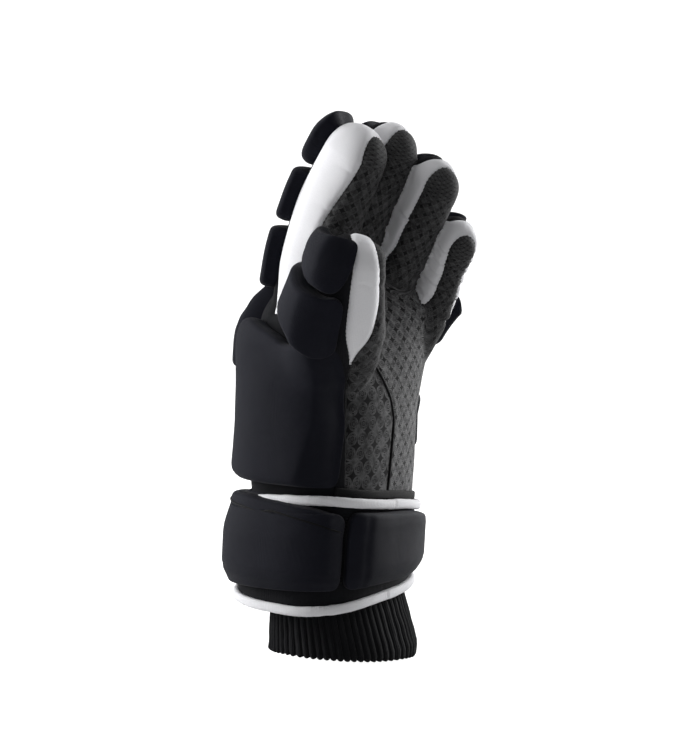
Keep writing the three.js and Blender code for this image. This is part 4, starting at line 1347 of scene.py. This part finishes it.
# Piping and thread: a black cord is sewn into the curved seam round the ball of the thumb, and
# black thread holds the pads' strips, the wrist pads' groove and the edges of the white knit.
black_thread = knit_material(
    "black_thread", (0.003, 0.003, 0.0035), (0.008, 0.008, 0.009), 0.4, 0.05, 0.6, 0.05, 1.0, 0.01
)


def piping(name, path, radius):
    # A thin cord along a path, drawn to a point at both ends where it goes under the cloth.
    ahead = np.gradient(path, axis=0)
    ahead /= np.linalg.norm(ahead, axis=1, keepdims=True)
    side = np.cross(ahead, [0.0, -1.0, 0.2])
    side /= np.linalg.norm(side, axis=1, keepdims=True)
    up = np.cross(side, ahead)
    turn = full_turn(10)[None, :, None]
    from_end = np.minimum(np.arange(len(path)), np.arange(len(path))[::-1])
    thin = radius * np.minimum(1, 0.25 + from_end / 5)
    rings = path[:, None] + thin[:, None, None] * (
        np.cos(turn) * side[:, None] + np.sin(turn) * up[:, None])
    sew_on(mesh_piece(name, *closed_loft(rings)), black_thread)


def stitches(name, centres, ways, outs, length, radius):
    # Short rounded threads, each along its own way and bulged out of the cloth.
    turn = full_turn(6)[:, None]
    points, faces = [], []
    for centre, way, out in zip(centres, ways, outs):
        way = way / max(np.linalg.norm(way), 1e-9)
        side = np.cross(way, out)
        side /= max(np.linalg.norm(side), 1e-9)
        up = np.cross(side, way)
        rings = []
        for at, thin, rise in STITCH:
            middle = centre + way * at * length + out * rise
            rings.append(middle + radius * thin * (np.cos(turn) * side + np.sin(turn) * up))
        more, closed = closed_loft(np.array(rings))
        faces += [tuple(i + len(points) * len(more) for i in face) for face in closed]
        points.append(more)
    sew_on(mesh_piece(name, np.concatenate(points), faces), black_thread)


def surface_row(form, degree, along, lift, pitch):
    # Places, ways and outward directions at an even pitch up a form, at one place round it.
    rough = np.linspace(0, 1, 400)
    angle, station = math.radians(degree), [0, 1]
    line = surface_lift(form, angle + 0 * rough, np.interp(rough, station, along), lift + 0 * rough)
    run = np.concatenate([[0], np.cumsum(np.linalg.norm(np.diff(line, axis=0), axis=1))])
    at = np.interp(np.arange(pitch / 2, run[-1], pitch), run, rough)
    height = np.interp(at, station, along)
    here = surface_lift(form, angle + 0 * at, height, lift + 0 * at)
    out = surface_lift(form, angle + 0 * at, height, lift + 1.0 + 0 * at) - here
    return here, np.gradient(here, axis=0), out


# The cord in the seam of the ball follows the seam up from the hem.
SEAM_POINTS = 90
seam_heights = np.linspace(77.5, BALL_SEAM[-1, 0], SEAM_POINTS)
seam_side = np.tan(np.radians(np.interp(seam_heights, BALL_SEAM[:, 0], BALL_SEAM[:, 1])))
seam_angles = np.sign(seam_side) * np.arctan(np.abs(seam_side) ** (BODY_SQUARENESS / 2))
seam = surface_lift(hand_form, seam_angles, seam_heights, np.full(SEAM_POINTS, 0.1))
easing = np.hanning(15) / np.hanning(15).sum()
seam = np.stack([np.convolve(np.pad(line, 7, "edge"), easing, "valid") for line in seam.T], -1)
piping("ball_seam_piping", seam, 0.62)

STITCH = (
    # place along the stitch, share of its radius, bulge
    (-0.5, 0.35, -0.25),
    (-0.25, 0.9, 0.05),
    (0.0, 1.0, 0.12),
    (0.25, 0.9, 0.05),
    (0.5, 0.35, -0.25),
)
stitches("side_strip_thread", *surface_row(hand_form, 314.5, (90, 151), 0.25, 2.0), 1.3, 0.2)

# The cord of the slanting band lies on the sewn line along the back wrist pad's upper edge.
(left, right), lower, upper, _, thick, _ = WRIST_PADS["back"]
lower, upper = curve(lower), curve(upper)
welt_u = np.linspace(0.06, 0.985, 150)
welt_v = 1 - welt_width(welt_u)
piping("wrist_welt_piping", surface_lift(
    gauntlet_form, np.radians(left + (right - left) * welt_u),
    lower(welt_u) + welt_v * (upper(welt_u) - lower(welt_u)),
    thick * back_bevel(welt_u, welt_v) + 0.25,
), 0.5)
groove, way, out = surface_row(gauntlet_form, 323, (41, 73), 0.5, 1.5)
stitches("wrist_groove_thread", groove, np.cross(way, out), out, 2.2, 0.24)

# Thread along the edges of the white knit, one stitch to every two millimetres or so.
STITCH_GAP = 1.9
edges_of_white = np.array(open_edges(corners[in_gusset]))
middles = table[edges_of_white, :3].mean(1)
taken = []
for k in np.argsort(middles @ np.array([0.01, 0.02, 1.0])):
    if all(((middles[k] - middles[j]) ** 2).sum() > STITCH_GAP**2 for j in taken[-60:]):
        taken.append(k)
start, end = edges_of_white[taken].T
outs = skin_out[edges_of_white[taken]].mean(1)
ways = table[end, :3] - table[start, :3]
stitches("white_knit_edge_thread", middles[taken] + outs * 0.12, ways, outs, 1.1, 0.16)
